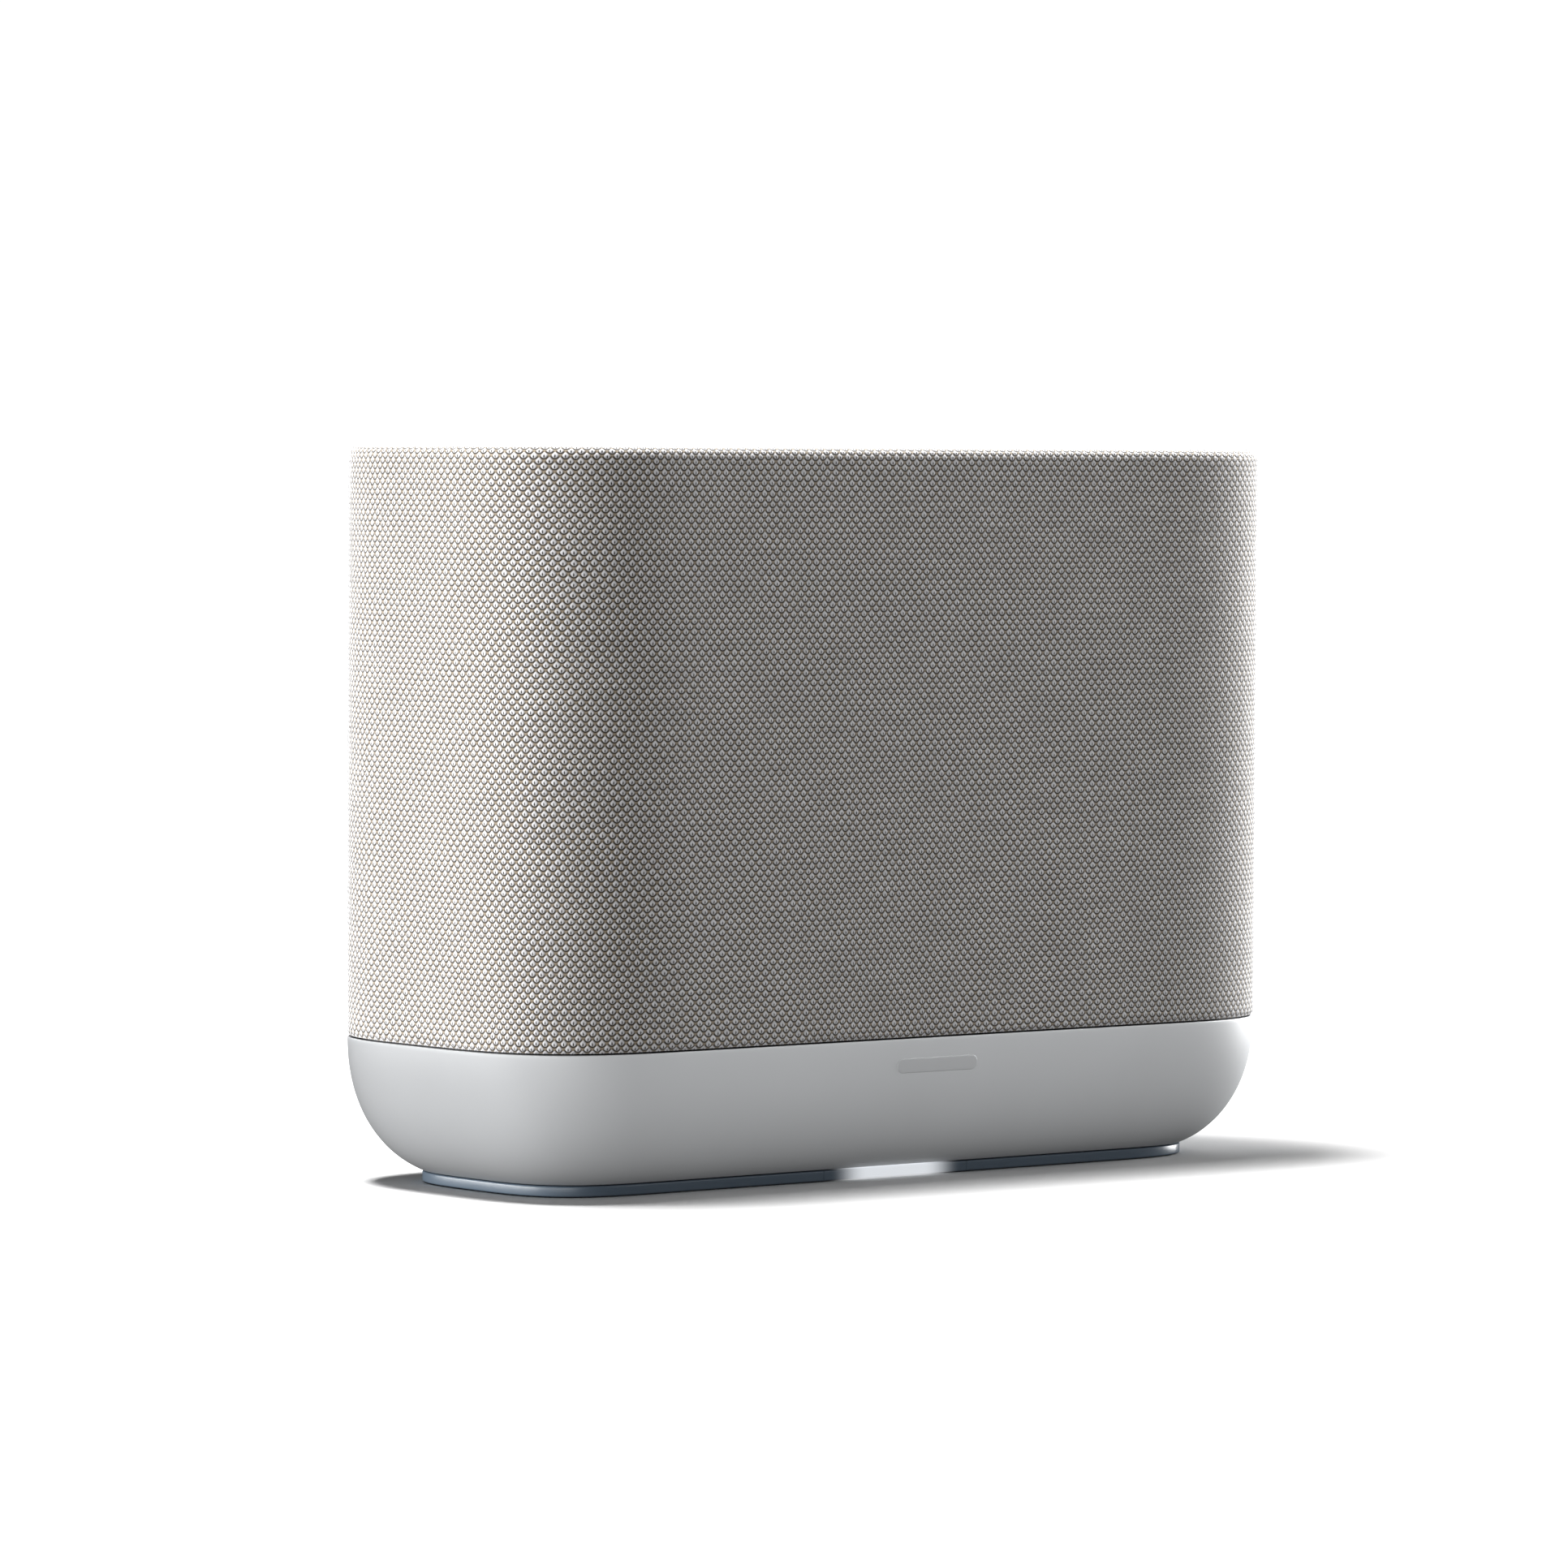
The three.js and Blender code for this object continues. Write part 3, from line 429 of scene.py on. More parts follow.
def loop_family(tree, lattice, shift):
    """Dome height of one family of loops, and a 0 to 1 mask of its slits and lower grooves, which sinks them
    in the bump and carries their painted shade.
    """
    moved = add_node(tree, "ShaderNodeVectorMath", {"operation": "ADD"}, {0: lattice, 1: shift})
    cell = add_node(tree, "ShaderNodeVectorMath", {"operation": "FRACTION"}, {0: moved.outputs[0]})
    centred = add_node(tree, "ShaderNodeVectorMath", {"operation": "SUBTRACT"}, {
        0: cell.outputs[0], 1: (0.5, 0.5 + LOOP_RAISE, 0)})
    local = add_node(tree, "ShaderNodeVectorMath", {"operation": "MULTIPLY"}, {
        0: centred.outputs[0], 1: (1 / LOOP_HALF, 1 / LOOP_TALL, 0)})
    axis = add_node(tree, "ShaderNodeSeparateXYZ", (), {0: local.outputs[0]})
    taper = add_node(tree, "ShaderNodeMapRange", (), {
        "Value": axis.outputs[1], "To Min": 1.0, "To Max": 1 + LOOP_TAPER})
    narrowed = add_node(tree, "ShaderNodeMath", {"operation": "MULTIPLY"}, {
        0: axis.outputs[0], 1: taper.outputs[0]})
    point = add_node(tree, "ShaderNodeCombineXYZ", (), {0: narrowed.outputs[0], 1: axis.outputs[1]})
    length = add_node(tree, "ShaderNodeVectorMath", {"operation": "LENGTH"}, {0: point.outputs[0]})
    reach = length.outputs["Value"]
    square = add_node(tree, "ShaderNodeMath", {"operation": "MULTIPLY"}, {0: reach, 1: reach})
    inside = add_node(tree, "ShaderNodeMath", {"operation": "SUBTRACT", "use_clamp": True}, {
        0: 1.0, 1: square.outputs[0]})
    dome = add_node(tree, "ShaderNodeMath", {"operation": "SQRT"}, {0: inside.outputs[0]})
    slit_place = add_node(tree, "ShaderNodeVectorMath", {"operation": "SUBTRACT"}, {
        0: cell.outputs[0], 1: (0.5, 0.5 + SLIT_DROP, 0)})
    slit_local = add_node(tree, "ShaderNodeVectorMath", {"operation": "MULTIPLY"}, {
        0: slit_place.outputs[0], 1: (1 / SLIT_HALF, 1 / SLIT_TALL, 0)})
    slit_reach = add_node(tree, "ShaderNodeVectorMath", {"operation": "LENGTH"}, {0: slit_local.outputs[0]})
    slit = add_node(tree, "ShaderNodeMapRange", {"interpolation_type": "SMOOTHSTEP"}, {
        "Value": slit_reach.outputs["Value"], "From Min": 1.25, "From Max": 0.35})
    groove_in = add_node(tree, "ShaderNodeMapRange", {"interpolation_type": "SMOOTHSTEP"}, {
        "Value": reach, "From Min": 0.75, "From Max": 1.1})
    groove_out = add_node(tree, "ShaderNodeMapRange", {"interpolation_type": "SMOOTHSTEP"}, {
        "Value": reach, "From Min": GROOVE_END, "From Max": 1.15})
    low = add_node(tree, "ShaderNodeMapRange", {"interpolation_type": "SMOOTHSTEP"}, {
        "Value": axis.outputs[1], "From Min": 0.35, "From Max": -0.75})
    groove = add_node(tree, "ShaderNodeMath", {"operation": "MULTIPLY"}, {
        0: groove_in.outputs[0], 1: groove_out.outputs[0]})
    low_groove = add_node(tree, "ShaderNodeMath", {"operation": "MULTIPLY"}, {
        0: groove.outputs[0], 1: low.outputs[0]})
    # the slits and the grooves under each loop: sunk in the bump and painted dark as shade
    gap_shade_and_depth = add_node(tree, "ShaderNodeMath", {"operation": "MAXIMUM"}, {
        0: slit.outputs[0], 1: low_groove.outputs[0]})
    return dome.outputs[0], gap_shade_and_depth.outputs[0]


# %% Polyester knit
GROUND_COLOUR = "#a99a84"
LOOP_COLOUR = "#e5e4e7"
# near black: painted shade in the slits and grooves, where the loops part and dive under the ground threads
PAINTED_GAP_SHADE = "#231f1b"
WANDER = 0.22  # how far loops stray from their lattice, as a share of a cell
WANDER_SPACING = 6 * MM
FIBRE_SPACING = 0.45 * MM
YARN_DEPTH = 0.26 * MM
STREAK_LOOPS = 7  # width of a streak in the melange, in loops


def polyester_knit():
    """Pale melange polyester loops over beige ground threads, with painted shade in the gaps between them:
    matt, with the sheen of loose fibres.
    """
    material, tree, shader = new_material(
        "knitted_polyester", Roughness=0.9, IOR=1.45, Sheen_Weight=0.5, Sheen_Roughness=0.5)
    chart = add_node(tree, "ShaderNodeUVMap", {"uv_map": "OFBake"})
    loops_high = (cover_rows - 1) / 2 / CHART_SHARE
    lattice = add_node(tree, "ShaderNodeVectorMath", {"operation": "MULTIPLY"}, {
        0: chart.outputs[0], 1: (LOOPS_ROUND, loops_high, 0)})
    place = add_node(tree, "ShaderNodeTexCoord").outputs["Object"]
    wander = add_node(tree, "ShaderNodeTexNoise", (), {
        "Vector": place, "Scale": 1 / WANDER_SPACING, "Detail": 1.0})
    jitter = add_node(tree, "ShaderNodeVectorMath", {"operation": "MULTIPLY_ADD"}, {
        0: wander.outputs["Color"], 1: (WANDER, WANDER, 0.0), 2: lattice.outputs[0]})
    back, half_on = -WANDER / 2, 0.5 - WANDER / 2
    even_dome, even_gap_shade_and_depth = loop_family(tree, jitter.outputs[0], (back, back, 0.0))
    odd_dome, odd_gap_shade_and_depth = loop_family(tree, jitter.outputs[0], (half_on, half_on, 0.0))
    dome = add_node(tree, "ShaderNodeMath", {"operation": "MAXIMUM"}, {0: even_dome, 1: odd_dome})
    gap_shade_and_depth = add_node(tree, "ShaderNodeMath", {"operation": "MAXIMUM"}, {0: even_gap_shade_and_depth, 1: odd_gap_shade_and_depth})
    fibre = add_node(tree, "ShaderNodeTexNoise", (), {
        "Vector": place, "Scale": 1 / FIBRE_SPACING, "Detail": 3.0, "Roughness": 0.6})
    ground = add_node(tree, "ShaderNodeMapRange", (), {
        "Value": fibre.outputs[0], "From Min": 0.3, "From Max": 0.7, "To Min": 0.22, "To Max": 0.42})
    raised = add_node(tree, "ShaderNodeMath", {"operation": "MAXIMUM"}, {
        0: dome.outputs[0], 1: ground.outputs[0]})
    height = add_node(tree, "ShaderNodeMath", {"operation": "MULTIPLY_ADD"}, {
        0: gap_shade_and_depth.outputs[0], 1: -0.45, 2: raised.outputs[0]})
    loop_share = add_node(tree, "ShaderNodeMapRange", {"interpolation_type": "SMOOTHSTEP"}, {
        "Value": dome.outputs[0], "From Min": 0.05, "From Max": 0.55})
    yarn = add_node(tree, "ShaderNodeMix", {"data_type": "RGBA"}, {
        0: loop_share.outputs[0], 6: linear(GROUND_COLOUR), 7: linear(LOOP_COLOUR)})
    # the slits and grooves take the painted shade
    yarn_with_painted_shade = add_node(tree, "ShaderNodeMix", {"data_type": "RGBA"}, {
        0: gap_shade_and_depth.outputs[0], 6: yarn.outputs[2], 7: linear(PAINTED_GAP_SHADE)})
    streak_place = add_node(tree, "ShaderNodeVectorMath", {"operation": "MULTIPLY"}, {
        0: chart.outputs[0], 1: (LOOPS_ROUND / STREAK_LOOPS, loops_high * 2, 0)})
    streak = add_node(tree, "ShaderNodeTexNoise", {"noise_dimensions": "2D"}, {
        "Vector": streak_place.outputs[0], "Scale": 1.0, "Detail": 2.0})
    shade = add_node(tree, "ShaderNodeMapRange", (), {
        "Value": streak.outputs[0], "From Min": 0.3, "From Max": 0.7, "To Min": 0.9, "To Max": 1.08})
    tint = add_node(tree, "ShaderNodeVectorMath", {"operation": "SCALE"}, {
        0: yarn_with_painted_shade.outputs[2], "Scale": shade.outputs[0]})
    tree.links.new(tint.outputs[0], shader.inputs["Base Color"])
    uneven = add_node(tree, "ShaderNodeMath", {"operation": "MULTIPLY_ADD"}, {
        0: fibre.outputs[0], 1: 0.15, 2: height.outputs[0]})
    bump = add_node(tree, "ShaderNodeBump", (), {
        "Height": uneven.outputs[0], "Distance": YARN_DEPTH, "Strength": 0.9})
    tree.links.new(bump.outputs[0], shader.inputs["Normal"])
    return material


use(cover, polyester_knit())
print("loops in the knit", LOOPS_ROUND * (cover_rows - 1))

# %% [markdown]
# ## Bowl
# The base is one moulding in satin grey plastic. Its wall leaves the seam upright and draws in
# ever faster towards the foot: u runs from 0 at the seam to 1 at the foot, and the inset follows
# 1 - (1 - v^m)^(1/m), a quarter of a superellipse, with v a little short of 1 at the foot.

# %% Bowl shape
BOWL_POWER = 2.16
BOWL_SHARE = 0.948
BOWL_TOP = tub_high.z
BOWL_FOOT = tub_low.z
BOWL_INSET = 19.4 * MM
BOWL_WALL = 2.4 * MM
EDGE = 0.35 * MM
FLANGE = 28 * MM
tray_low, tray_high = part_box("jack_panel")
BAY_EDGE = 0.3 * MM
FOOT_STEP = 0.5 * MM
BOWL_LEVELS = 44
BOWL_COLUMNS = 520
TINY = 1e-9


def quarter_curve(v):
    """A quarter of a superellipse: 0 at v = 0, rising ever faster to 1 at v = 1."""
    return 1 - (1 - np.abs(v) ** BOWL_POWER) ** (1 / BOWL_POWER)


def bowl_inset(u):
    """How far the bowl draws in at share u of the way down, scaled to end at the foot's inset."""
    return BOWL_INSET * quarter_curve(np.clip(u, 0, 1) * BOWL_SHARE) / quarter_curve(BOWL_SHARE)


def inset_at(height):
    """Inset of the bowl's outer face at a height."""
    return bowl_inset((BOWL_TOP - height) / (BOWL_TOP - BOWL_FOOT))


def bowl_grids(heights, distance):
    """Outer and inner faces of the wall. The inner face is moved in along the profile's normal."""
    spine, offset = plan_at(distance)
    inset, height = inset_at(heights), heights.copy()
    near_top = (BOWL_TOP - height) / EDGE
    inset = inset + EDGE * (1 - np.sqrt(1 - np.clip(1 - near_top, 0, 1) ** 2))
    inset = np.append(inset, [BOWL_INSET + FOOT_STEP, FLANGE])
    height = np.append(height, [BOWL_FOOT, BOWL_FOOT])
    slope = np.gradient(np.stack([inset, height], axis=-1), axis=0)
    slope /= np.linalg.norm(slope, axis=1, keepdims=True)
    inner_inset = inset - slope[:, 1] * BOWL_WALL
    inner_height = np.minimum(height + slope[:, 0] * BOWL_WALL, BOWL_TOP)
    inner_height[0] = BOWL_TOP
    return swept_grid(inset, height, spine, offset), swept_grid(inner_inset, inner_height, spine, offset)


def shell_faces(kept):
    """Faces of a shell between two grids of one size, closed round the columns: kept marks its quads.

    The outer grid comes first in the point list. Every open edge of the kept quads is joined to the
    same edge of the inner grid, which closes the rims and the walls of any opening.
    """
    rows, columns = kept.shape[0] + 1, kept.shape[1]
    outer = grid_faces(rows, columns, False, True).reshape(rows - 1, columns, 4)[kept]
    inner = outer[:, ::-1] + rows * columns
    edges = np.stack([outer, np.roll(outer, -1, axis=1)], axis=-1).reshape(-1, 2)
    key = edges[:, 0] * rows * columns + edges[:, 1]
    twin = edges[:, 1] * rows * columns + edges[:, 0]
    rim = edges[~np.isin(key, twin)]
    sides = np.stack([rim[:, 1], rim[:, 0], rim[:, 0] + rows * columns, rim[:, 1] + rows * columns], axis=-1)
    return np.concatenate([outer, inner, sides])


def bowl_shell(name):
    """The bowl and its rear opening: grid lines follow the opening's edges, and its quads are left out."""
    half, low, high = tray_high.x + BAY_EDGE, tray_low.z - BAY_EDGE, tray_high.z + BAY_EDGE
    steps = 1 - (1 - np.linspace(0, 1, BOWL_LEVELS)) ** 1.4
    wall = BOWL_TOP - steps * (BOWL_TOP - BOWL_FOOT)
    edge = BOWL_TOP - EDGE * np.array([0.1, 0.3, 0.6, 1.0])
    heights = np.unique(np.concatenate([wall, [low, high], edge]))[::-1]
    left, right = distance_at(-half, front=False), distance_at(half, front=False)
    even = np.linspace(0, PERIMETER, BOWL_COLUMNS, endpoint=False)
    distance = np.unique(np.concatenate([even, [left, right]]))
    outer, inner = bowl_grids(heights, distance)
    middle = np.append(heights, [BOWL_FOOT, BOWL_FOOT])
    row_in = (middle[:-1] <= high + TINY) & (middle[1:] >= low - TINY) & (middle[1:] > BOWL_FOOT + TINY)
    end = np.append(distance[1:], PERIMETER)
    column_in = (end <= left + TINY) | (distance >= right - TINY)
    kept = ~(row_in[:, None] & column_in[None])
    return face_outwards(make_object(name, np.concatenate([outer, inner]), shell_faces(kept)))


bowl = bowl_shell("bowl_shell")
crisp_rims(bowl)
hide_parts("base_tub")
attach(bowl, "cabinet")
satin_abs = moulded_plastic("satin_moulded_abs", "#d4d6d8", 0.42, grain=0.3, depth=0.012)
use(bowl, satin_abs)
print("bowl faces", len(bowl.data.polygons))

# %% [markdown]
# ## Foot ring and light
# The speaker stands on a slate-tinted ring, a few millimetres high. Behind its front a row of
# diodes shines down a light guide, so a stretch of the ring glows white and fades at both ends.

# %% Ring shape
RING_WIDTH = 5 * MM
RING_ROUND = 0.5 * MM
GUIDE_GAP = 0.15 * MM
GUIDE_STEPS = 60
OUTLINE_STEPS = 420
guide_low, guide_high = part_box("light_guide")


def ring_section():
    """Closed (inset, height) section of the ring, with its outer corners rounded."""
    low, high = ring_low.z, ring_high.z
    outer, inner = BOWL_INSET, BOWL_INSET + RING_WIDTH
    section = arc((outer + RING_ROUND, low + RING_ROUND), RING_ROUND, 270, 180, 6)
    section += arc((outer + RING_ROUND, high - RING_ROUND), RING_ROUND, 180, 90, 6)
    return np.array(section + [(inner, high), (inner, low)])


def swept_bar(name, section, distance):
    """The ring's section carried along part of the outline and capped at both ends."""
    spine, offset = plan_at(distance)
    grid = swept_grid(section[:, 0], section[:, 1], spine, offset)
    rows, columns = grid.shape[:2]
    faces = grid_faces(rows, columns, True, False).tolist()
    faces.append([r * columns for r in range(rows)])
    faces.append([r * columns + columns - 1 for r in reversed(range(rows))])
    return face_outwards(make_object(name, grid, faces))


left_edge, right_edge = distance_at(guide_low.x), distance_at(guide_high.x)
guide_bar = swept_bar("glow_guide", ring_section(), np.linspace(left_edge, right_edge, GUIDE_STEPS))
ring_bar = swept_bar("slate_ring", ring_section(), np.linspace(
    right_edge + GUIDE_GAP, left_edge - GUIDE_GAP + PERIMETER, OUTLINE_STEPS))
for piece, cad_node, finish_slot in ((guide_bar, "light_guide", "light_guide"),
                                     (ring_bar, "foot_ring", "slate_ring")):
    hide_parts(cad_node)
    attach(piece, "cabinet")
    crisp_rims(piece)
    print(piece.name, "faces", len(piece.data.polygons))


# %% Slate polycarbonate and its glow
GLOW_HALF = 15.0 * MM
GLOW_FADE = 11.0 * MM
GLOW_STRENGTH = 0.75
SLATE = "#505c68"

slate = moulded_plastic("slate_polycarbonate", SLATE, 0.3, grain=0.25, depth=0.004)
use(ring_bar, slate)


def lit_polycarbonate():
    """The ring's plastic with light coming through: bright in the middle, fading with |x| to nothing."""
    material = moulded_plastic("lit_slate_polycarbonate", SLATE, 0.3, grain=0.25, depth=0.004)
    tree = material.node_tree
    shader = tree.nodes["Principled BSDF"]
    place = add_node(tree, "ShaderNodeTexCoord").outputs["Object"]
    axis = add_node(tree, "ShaderNodeSeparateXYZ", (), {0: place})
    off_middle = add_node(tree, "ShaderNodeMath", {"operation": "ABSOLUTE"}, {0: axis.outputs[0]})
    glow = add_node(tree, "ShaderNodeMapRange", {"interpolation_type": "SMOOTHERSTEP"}, {
        "Value": off_middle.outputs[0], "From Min": GLOW_HALF - GLOW_FADE / 2,
        "From Max": GLOW_HALF + GLOW_FADE, "To Min": GLOW_STRENGTH, "To Max": 0.0})
    tree.links.new(glow.outputs[0], shader.inputs["Emission Strength"])
    shader.inputs["Emission Color"].default_value = linear("#f3f6fa")
    return material


use(guide_bar, lit_polycarbonate())
print("glow half-width", round(GLOW_HALF / MM), "mm")

# %% [markdown]
# ## Lid
# The lid is a flat satin moulding set a little below the turned edge of the cloth, with a soft
# edge and a very slight dish. Its touch keys are only printed on it, in a darker grey: minus,
# play and plus. Each print is a film a few hundredths of a millimetre thick, cut to its outline.

# %% Lid shape
LID_ROUND = 0.9 * MM
LID_EDGE = 4.9 * MM
LID_DISH = 0.35 * MM
LID_LEVELS = 14


def lid_shell(name):
    """Skirt, rounded edge and a top that dips by a cosine from the edge to the middle; flat underneath."""
    top, bottom = lid_high.z, lid_low.z
    profile = [(LID_EDGE, bottom)] + arc((LID_EDGE + LID_ROUND, top - LID_ROUND), LID_ROUND, 180, 90, 8)
    reach = END - LID_EDGE - LID_ROUND
    for share in np.linspace(0, 1, LID_LEVELS)[1:-1]:
        dip = LID_DISH * (1 - math.cos(math.pi * share)) / 2
        profile.append((LID_EDGE + LID_ROUND + share * reach, top - dip))
    profile = np.array(profile)
    spine, offset = plan_at(np.linspace(0, PERIMETER, OUTLINE_STEPS, endpoint=False))
    grid = swept_grid(profile[:, 0], profile[:, 1], spine, offset)
    rows, columns = grid.shape[:2]
    faces = grid_faces(rows, columns, False, True).tolist()
    faces.append(list(range(columns))[::-1])
    faces.append([(rows - 1) * columns + c for c in range(columns)])
    return face_outwards(make_object(name, grid, faces))


lid = lid_shell("lid_shell")
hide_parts("top_plate")
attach(lid, "cabinet")
use(lid, satin_abs)
print("lid faces", len(lid.data.polygons))


# %% Touch symbols
PRINT_DEPTH = 0.05 * MM
PRINT_SIZE = 9 * MM
PRINT_STROKE = 1.3 * MM
KEY_PITCH = 30 * MM
KEY_Y = -14 * MM


def printed_mark(name, outline):
    """A flat film of the given outline lying on the dished lid."""
    outline = np.array(outline, float)
    reach = END - LID_EDGE - LID_ROUND
    share = np.clip((reach - np.abs(outline[:, 1])) / reach, 0, 1)
    level = lid_high.z - LID_DISH * (1 - np.cos(np.pi * share)) / 2
    layers = [np.column_stack([outline, level + rise]) for rise in (-PRINT_DEPTH, PRINT_DEPTH)]
    count = len(outline)
    faces = grid_faces(2, count, False, True).tolist()
    faces += [list(range(count))[::-1], list(range(count, 2 * count))]
    return face_outwards(make_object(name, np.stack(layers), faces, smooth=False))


def bar_outline(x, long, wide):
    """Corners of a bar centred at x on the row of keys."""
    return [(x - long / 2, KEY_Y - wide / 2), (x + long / 2, KEY_Y - wide / 2),
            (x + long / 2, KEY_Y + wide / 2), (x - long / 2, KEY_Y + wide / 2)]


def cross_outline(x, long, wide):
    """Corners of an even cross centred at x on the row of keys."""
    a, b = long / 2, wide / 2
    corners = [(a, -b), (a, b), (b, b), (b, a), (-b, a), (-b, b),
               (-a, b), (-a, -b), (-b, -b), (-b, -a), (b, -a), (b, -b)]
    return [(x + u, KEY_Y + v) for u, v in corners]


def triangle_outline(x, long):
    """Corners of a triangle that points along X, with its centroid at x."""
    return [(x + long * 2 / 3, KEY_Y), (x - long / 3, KEY_Y + long / 2), (x - long / 3, KEY_Y - long / 2)]


key_ink = moulded_plastic("screen_print_ink", "#8b8f94", 0.5, grain=0.2, depth=0.002)
for name, outline in (("minus_print", bar_outline(-KEY_PITCH, PRINT_SIZE, PRINT_STROKE)),
                      ("play_print", triangle_outline(0, PRINT_SIZE * 0.8)),
                      ("plus_print", cross_outline(KEY_PITCH, PRINT_SIZE, PRINT_STROKE))):
    mark = printed_mark(name, outline)
    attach(mark, "cabinet")
    use(mark, key_ink)
    print(name, "on the lid")

# %% [markdown]
# ## Badge
# A small plain pill is let into the front of the bowl. It is a moulding in silver lacquer, a little
# brighter than the bowl round it, and it stands a tenth of a millimetre proud.

# %% Badge shape
badge_low, badge_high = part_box("badge_bar")
BADGE_PROUD = 0.12 * MM
BADGE_DEEP = 0.5 * MM
BADGE_ROUND = 0.2 * MM
BADGE_SIDES = 96


def badge_pill(name):
    """A pill outline in X and Z, shrunk ring by ring; Y follows the bowl, a little proud in the middle."""
    half_width, half_height = (badge_high.x - badge_low.x) / 2, (badge_high.z - badge_low.z) / 2
    middle_z = (badge_high.z + badge_low.z) / 2
    angle = np.linspace(0, 2 * np.pi, BADGE_SIDES, endpoint=False)
    straight = (half_width - half_height) * np.sign(np.cos(angle))
    rings = [(0.0, -BADGE_DEEP)]
    rings += [(BADGE_ROUND * (1 - math.cos(a)), BADGE_PROUD - BADGE_ROUND * (1 - math.sin(a)))
              for a in np.linspace(0, math.pi / 2, 5)]
    rings += [(half_height * share, BADGE_PROUD) for share in (0.3, 0.6, 0.9)]
    layers = []
    for shrink, rise in rings:
        x = straight + (half_height - shrink) * np.cos(angle)
        z = middle_z + (half_height - shrink) * np.sin(angle)
        layers.append(np.stack([x, -(END - inset_at(z)) - rise, z], axis=-1))
    grid = np.stack(layers)
    rows, columns = grid.shape[:2]
    faces = grid_faces(rows, columns, False, True).tolist()
    faces.append(list(range(columns))[::-1])
    faces.append([(rows - 1) * columns + c for c in range(columns)])
    return face_outwards(make_object(name, grid, faces))


badge = badge_pill("badge_pill")
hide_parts("badge_bar")
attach(badge, "cabinet")


# %% Brushed metal
def brushed_metal(name, colour, roughness, spacing=0.15):
    """Metal brushed along X, with fine grooves side by side and a hundredth of a millimetre deep."""
    material, tree, shader = new_material(
        name, Metallic=1.0, Roughness=roughness, Base_Color=linear(colour))
    place = add_node(tree, "ShaderNodeTexCoord").outputs["Object"]
    drawn = add_node(tree, "ShaderNodeMapping", (), {
        "Vector": place, "Scale": (0.02 / (spacing * MM), 1 / (spacing * MM), 1 / (spacing * MM))})
    grooves = add_node(tree, "ShaderNodeTexNoise", (), {
        "Vector": drawn.outputs[0], "Scale": 1.0, "Detail": 3.0})
    bump = add_node(tree, "ShaderNodeBump", (), {
        "Height": grooves.outputs[0], "Distance": 0.01 * MM, "Strength": 0.5})
    tree.links.new(bump.outputs[0], shader.inputs["Normal"])
    return material


use(badge, moulded_plastic("silver_lacquered_abs", "#eceef0", 0.3, grain=0.2, depth=0.003))
print("badge faces", len(badge.data.polygons))

# %% [markdown]
# ## Surrounds and spiders
# The woofer cones and the radiator plate hang on rubber half-rolls, and each cone also hangs on a
# corrugated cloth spider. Both are closed profiles turned round the driver's axis.

# %% Turned rings
RING_SIDES = 96
ROLL_POINTS = 17
FOLD_STEPS = 12
CREST_WALL = 0.6  # how far the roll's inner height falls short of its outer, as a share of its wall
SPIDER_RIM = 4  # millimetres of flat cloth outside the folds


def turned_ring(name, profile, middle, facing):
    """A closed profile of (radius, height) turned round the Y axis; height grows towards facing."""
    profile = np.array(profile) * MM
    angle = np.linspace(0, 2 * np.pi, RING_SIDES, endpoint=False)
    x = middle.x + profile[:, :1] * np.cos(angle)
    z = middle.z + profile[:, :1] * np.sin(angle)
    y = middle.y + facing * np.broadcast_to(profile[:, 1:], x.shape)
    grid = np.stack([x, y, z], axis=-1)
    return face_outwards(make_object(name, grid, grid_faces(*x.shape, True, True)))


def half_roll(lip_inner, roll_inner, roll_outer, lip_outer, inner_level, outer_level, height, wall):
    """Profile of a half-round roll between two flat lips: radius and height in millimetres."""
    middle, half = (roll_inner + roll_outer) / 2, (roll_outer - roll_inner) / 2
    share = np.linspace(0, 1, ROLL_POINTS)
    turn = np.pi * (1 - share)
    base = inner_level + (outer_level - inner_level) * share
    upper = np.stack([middle + half * np.cos(turn), base + wall + height * np.sin(turn)], axis=-1)
    under = height - wall * CREST_WALL
    lower = np.stack([middle + (half - wall) * np.cos(turn), base + under * np.sin(turn)], axis=-1)
    return [(lip_inner, inner_level + wall), *upper, (lip_outer, outer_level + wall),
            (lip_outer, outer_level), *lower[::-1], (lip_inner, inner_level)]


def corrugation(inner, outer, level, waves, depth, wall):
    """Profile of a cloth spider: level + depth (1 - cos(2 pi n t)) / 2, flat at the outer rim."""
    share = np.linspace(0, 1, waves * FOLD_STEPS + 1)
    radius = inner + (outer - SPIDER_RIM - inner) * share
    height = level + depth * (1 - np.cos(2 * np.pi * waves * share)) / 2
    upper = [*np.stack([radius, height + wall], axis=-1), (outer, level + wall)]
    return upper + [(r, h - wall) for r, h in upper[::-1]]


def share_motion(piece):
    """Bake a piece's place into its mesh and read its points."""
    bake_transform(piece)
    points = np.empty(len(piece.data.vertices) * 3)
    piece.data.vertices.foreach_get("co", points)
    points = points.reshape(-1, 3)


# %% Hang the cones
BAFFLE_FRONT = -46 * MM
REAR_FACE = 46 * MM
WOOFER_ROLL = {"lip_inner": 35, "roll_inner": 37, "roll_outer": 44, "lip_outer": 47.5,
               "inner_level": 2.7, "outer_level": 3.3, "height": 3.4, "wall": 0.7}
RADIATOR_ROLL = {"lip_inner": 45.5, "roll_inner": 48.4, "roll_outer": 60, "lip_outer": 64,
                 "inner_level": 2.7, "outer_level": 3.3, "height": 3.4, "wall": 0.9}
WOOFER_SPIDER = {"inner": 11.5, "outer": 37, "level": -16.5, "waves": 6, "depth": 0.9, "wall": 0.5}
SPIDER_SHARE = (12.5, 33)  # inner and outer radius in millimetres, kept with each spider


def driver_middle(node, face):
    """The point where a driver's axis meets its mounting face."""
    low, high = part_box(node)
    return Vector(((low.x + high.x) / 2, face, (low.z + high.z) / 2))


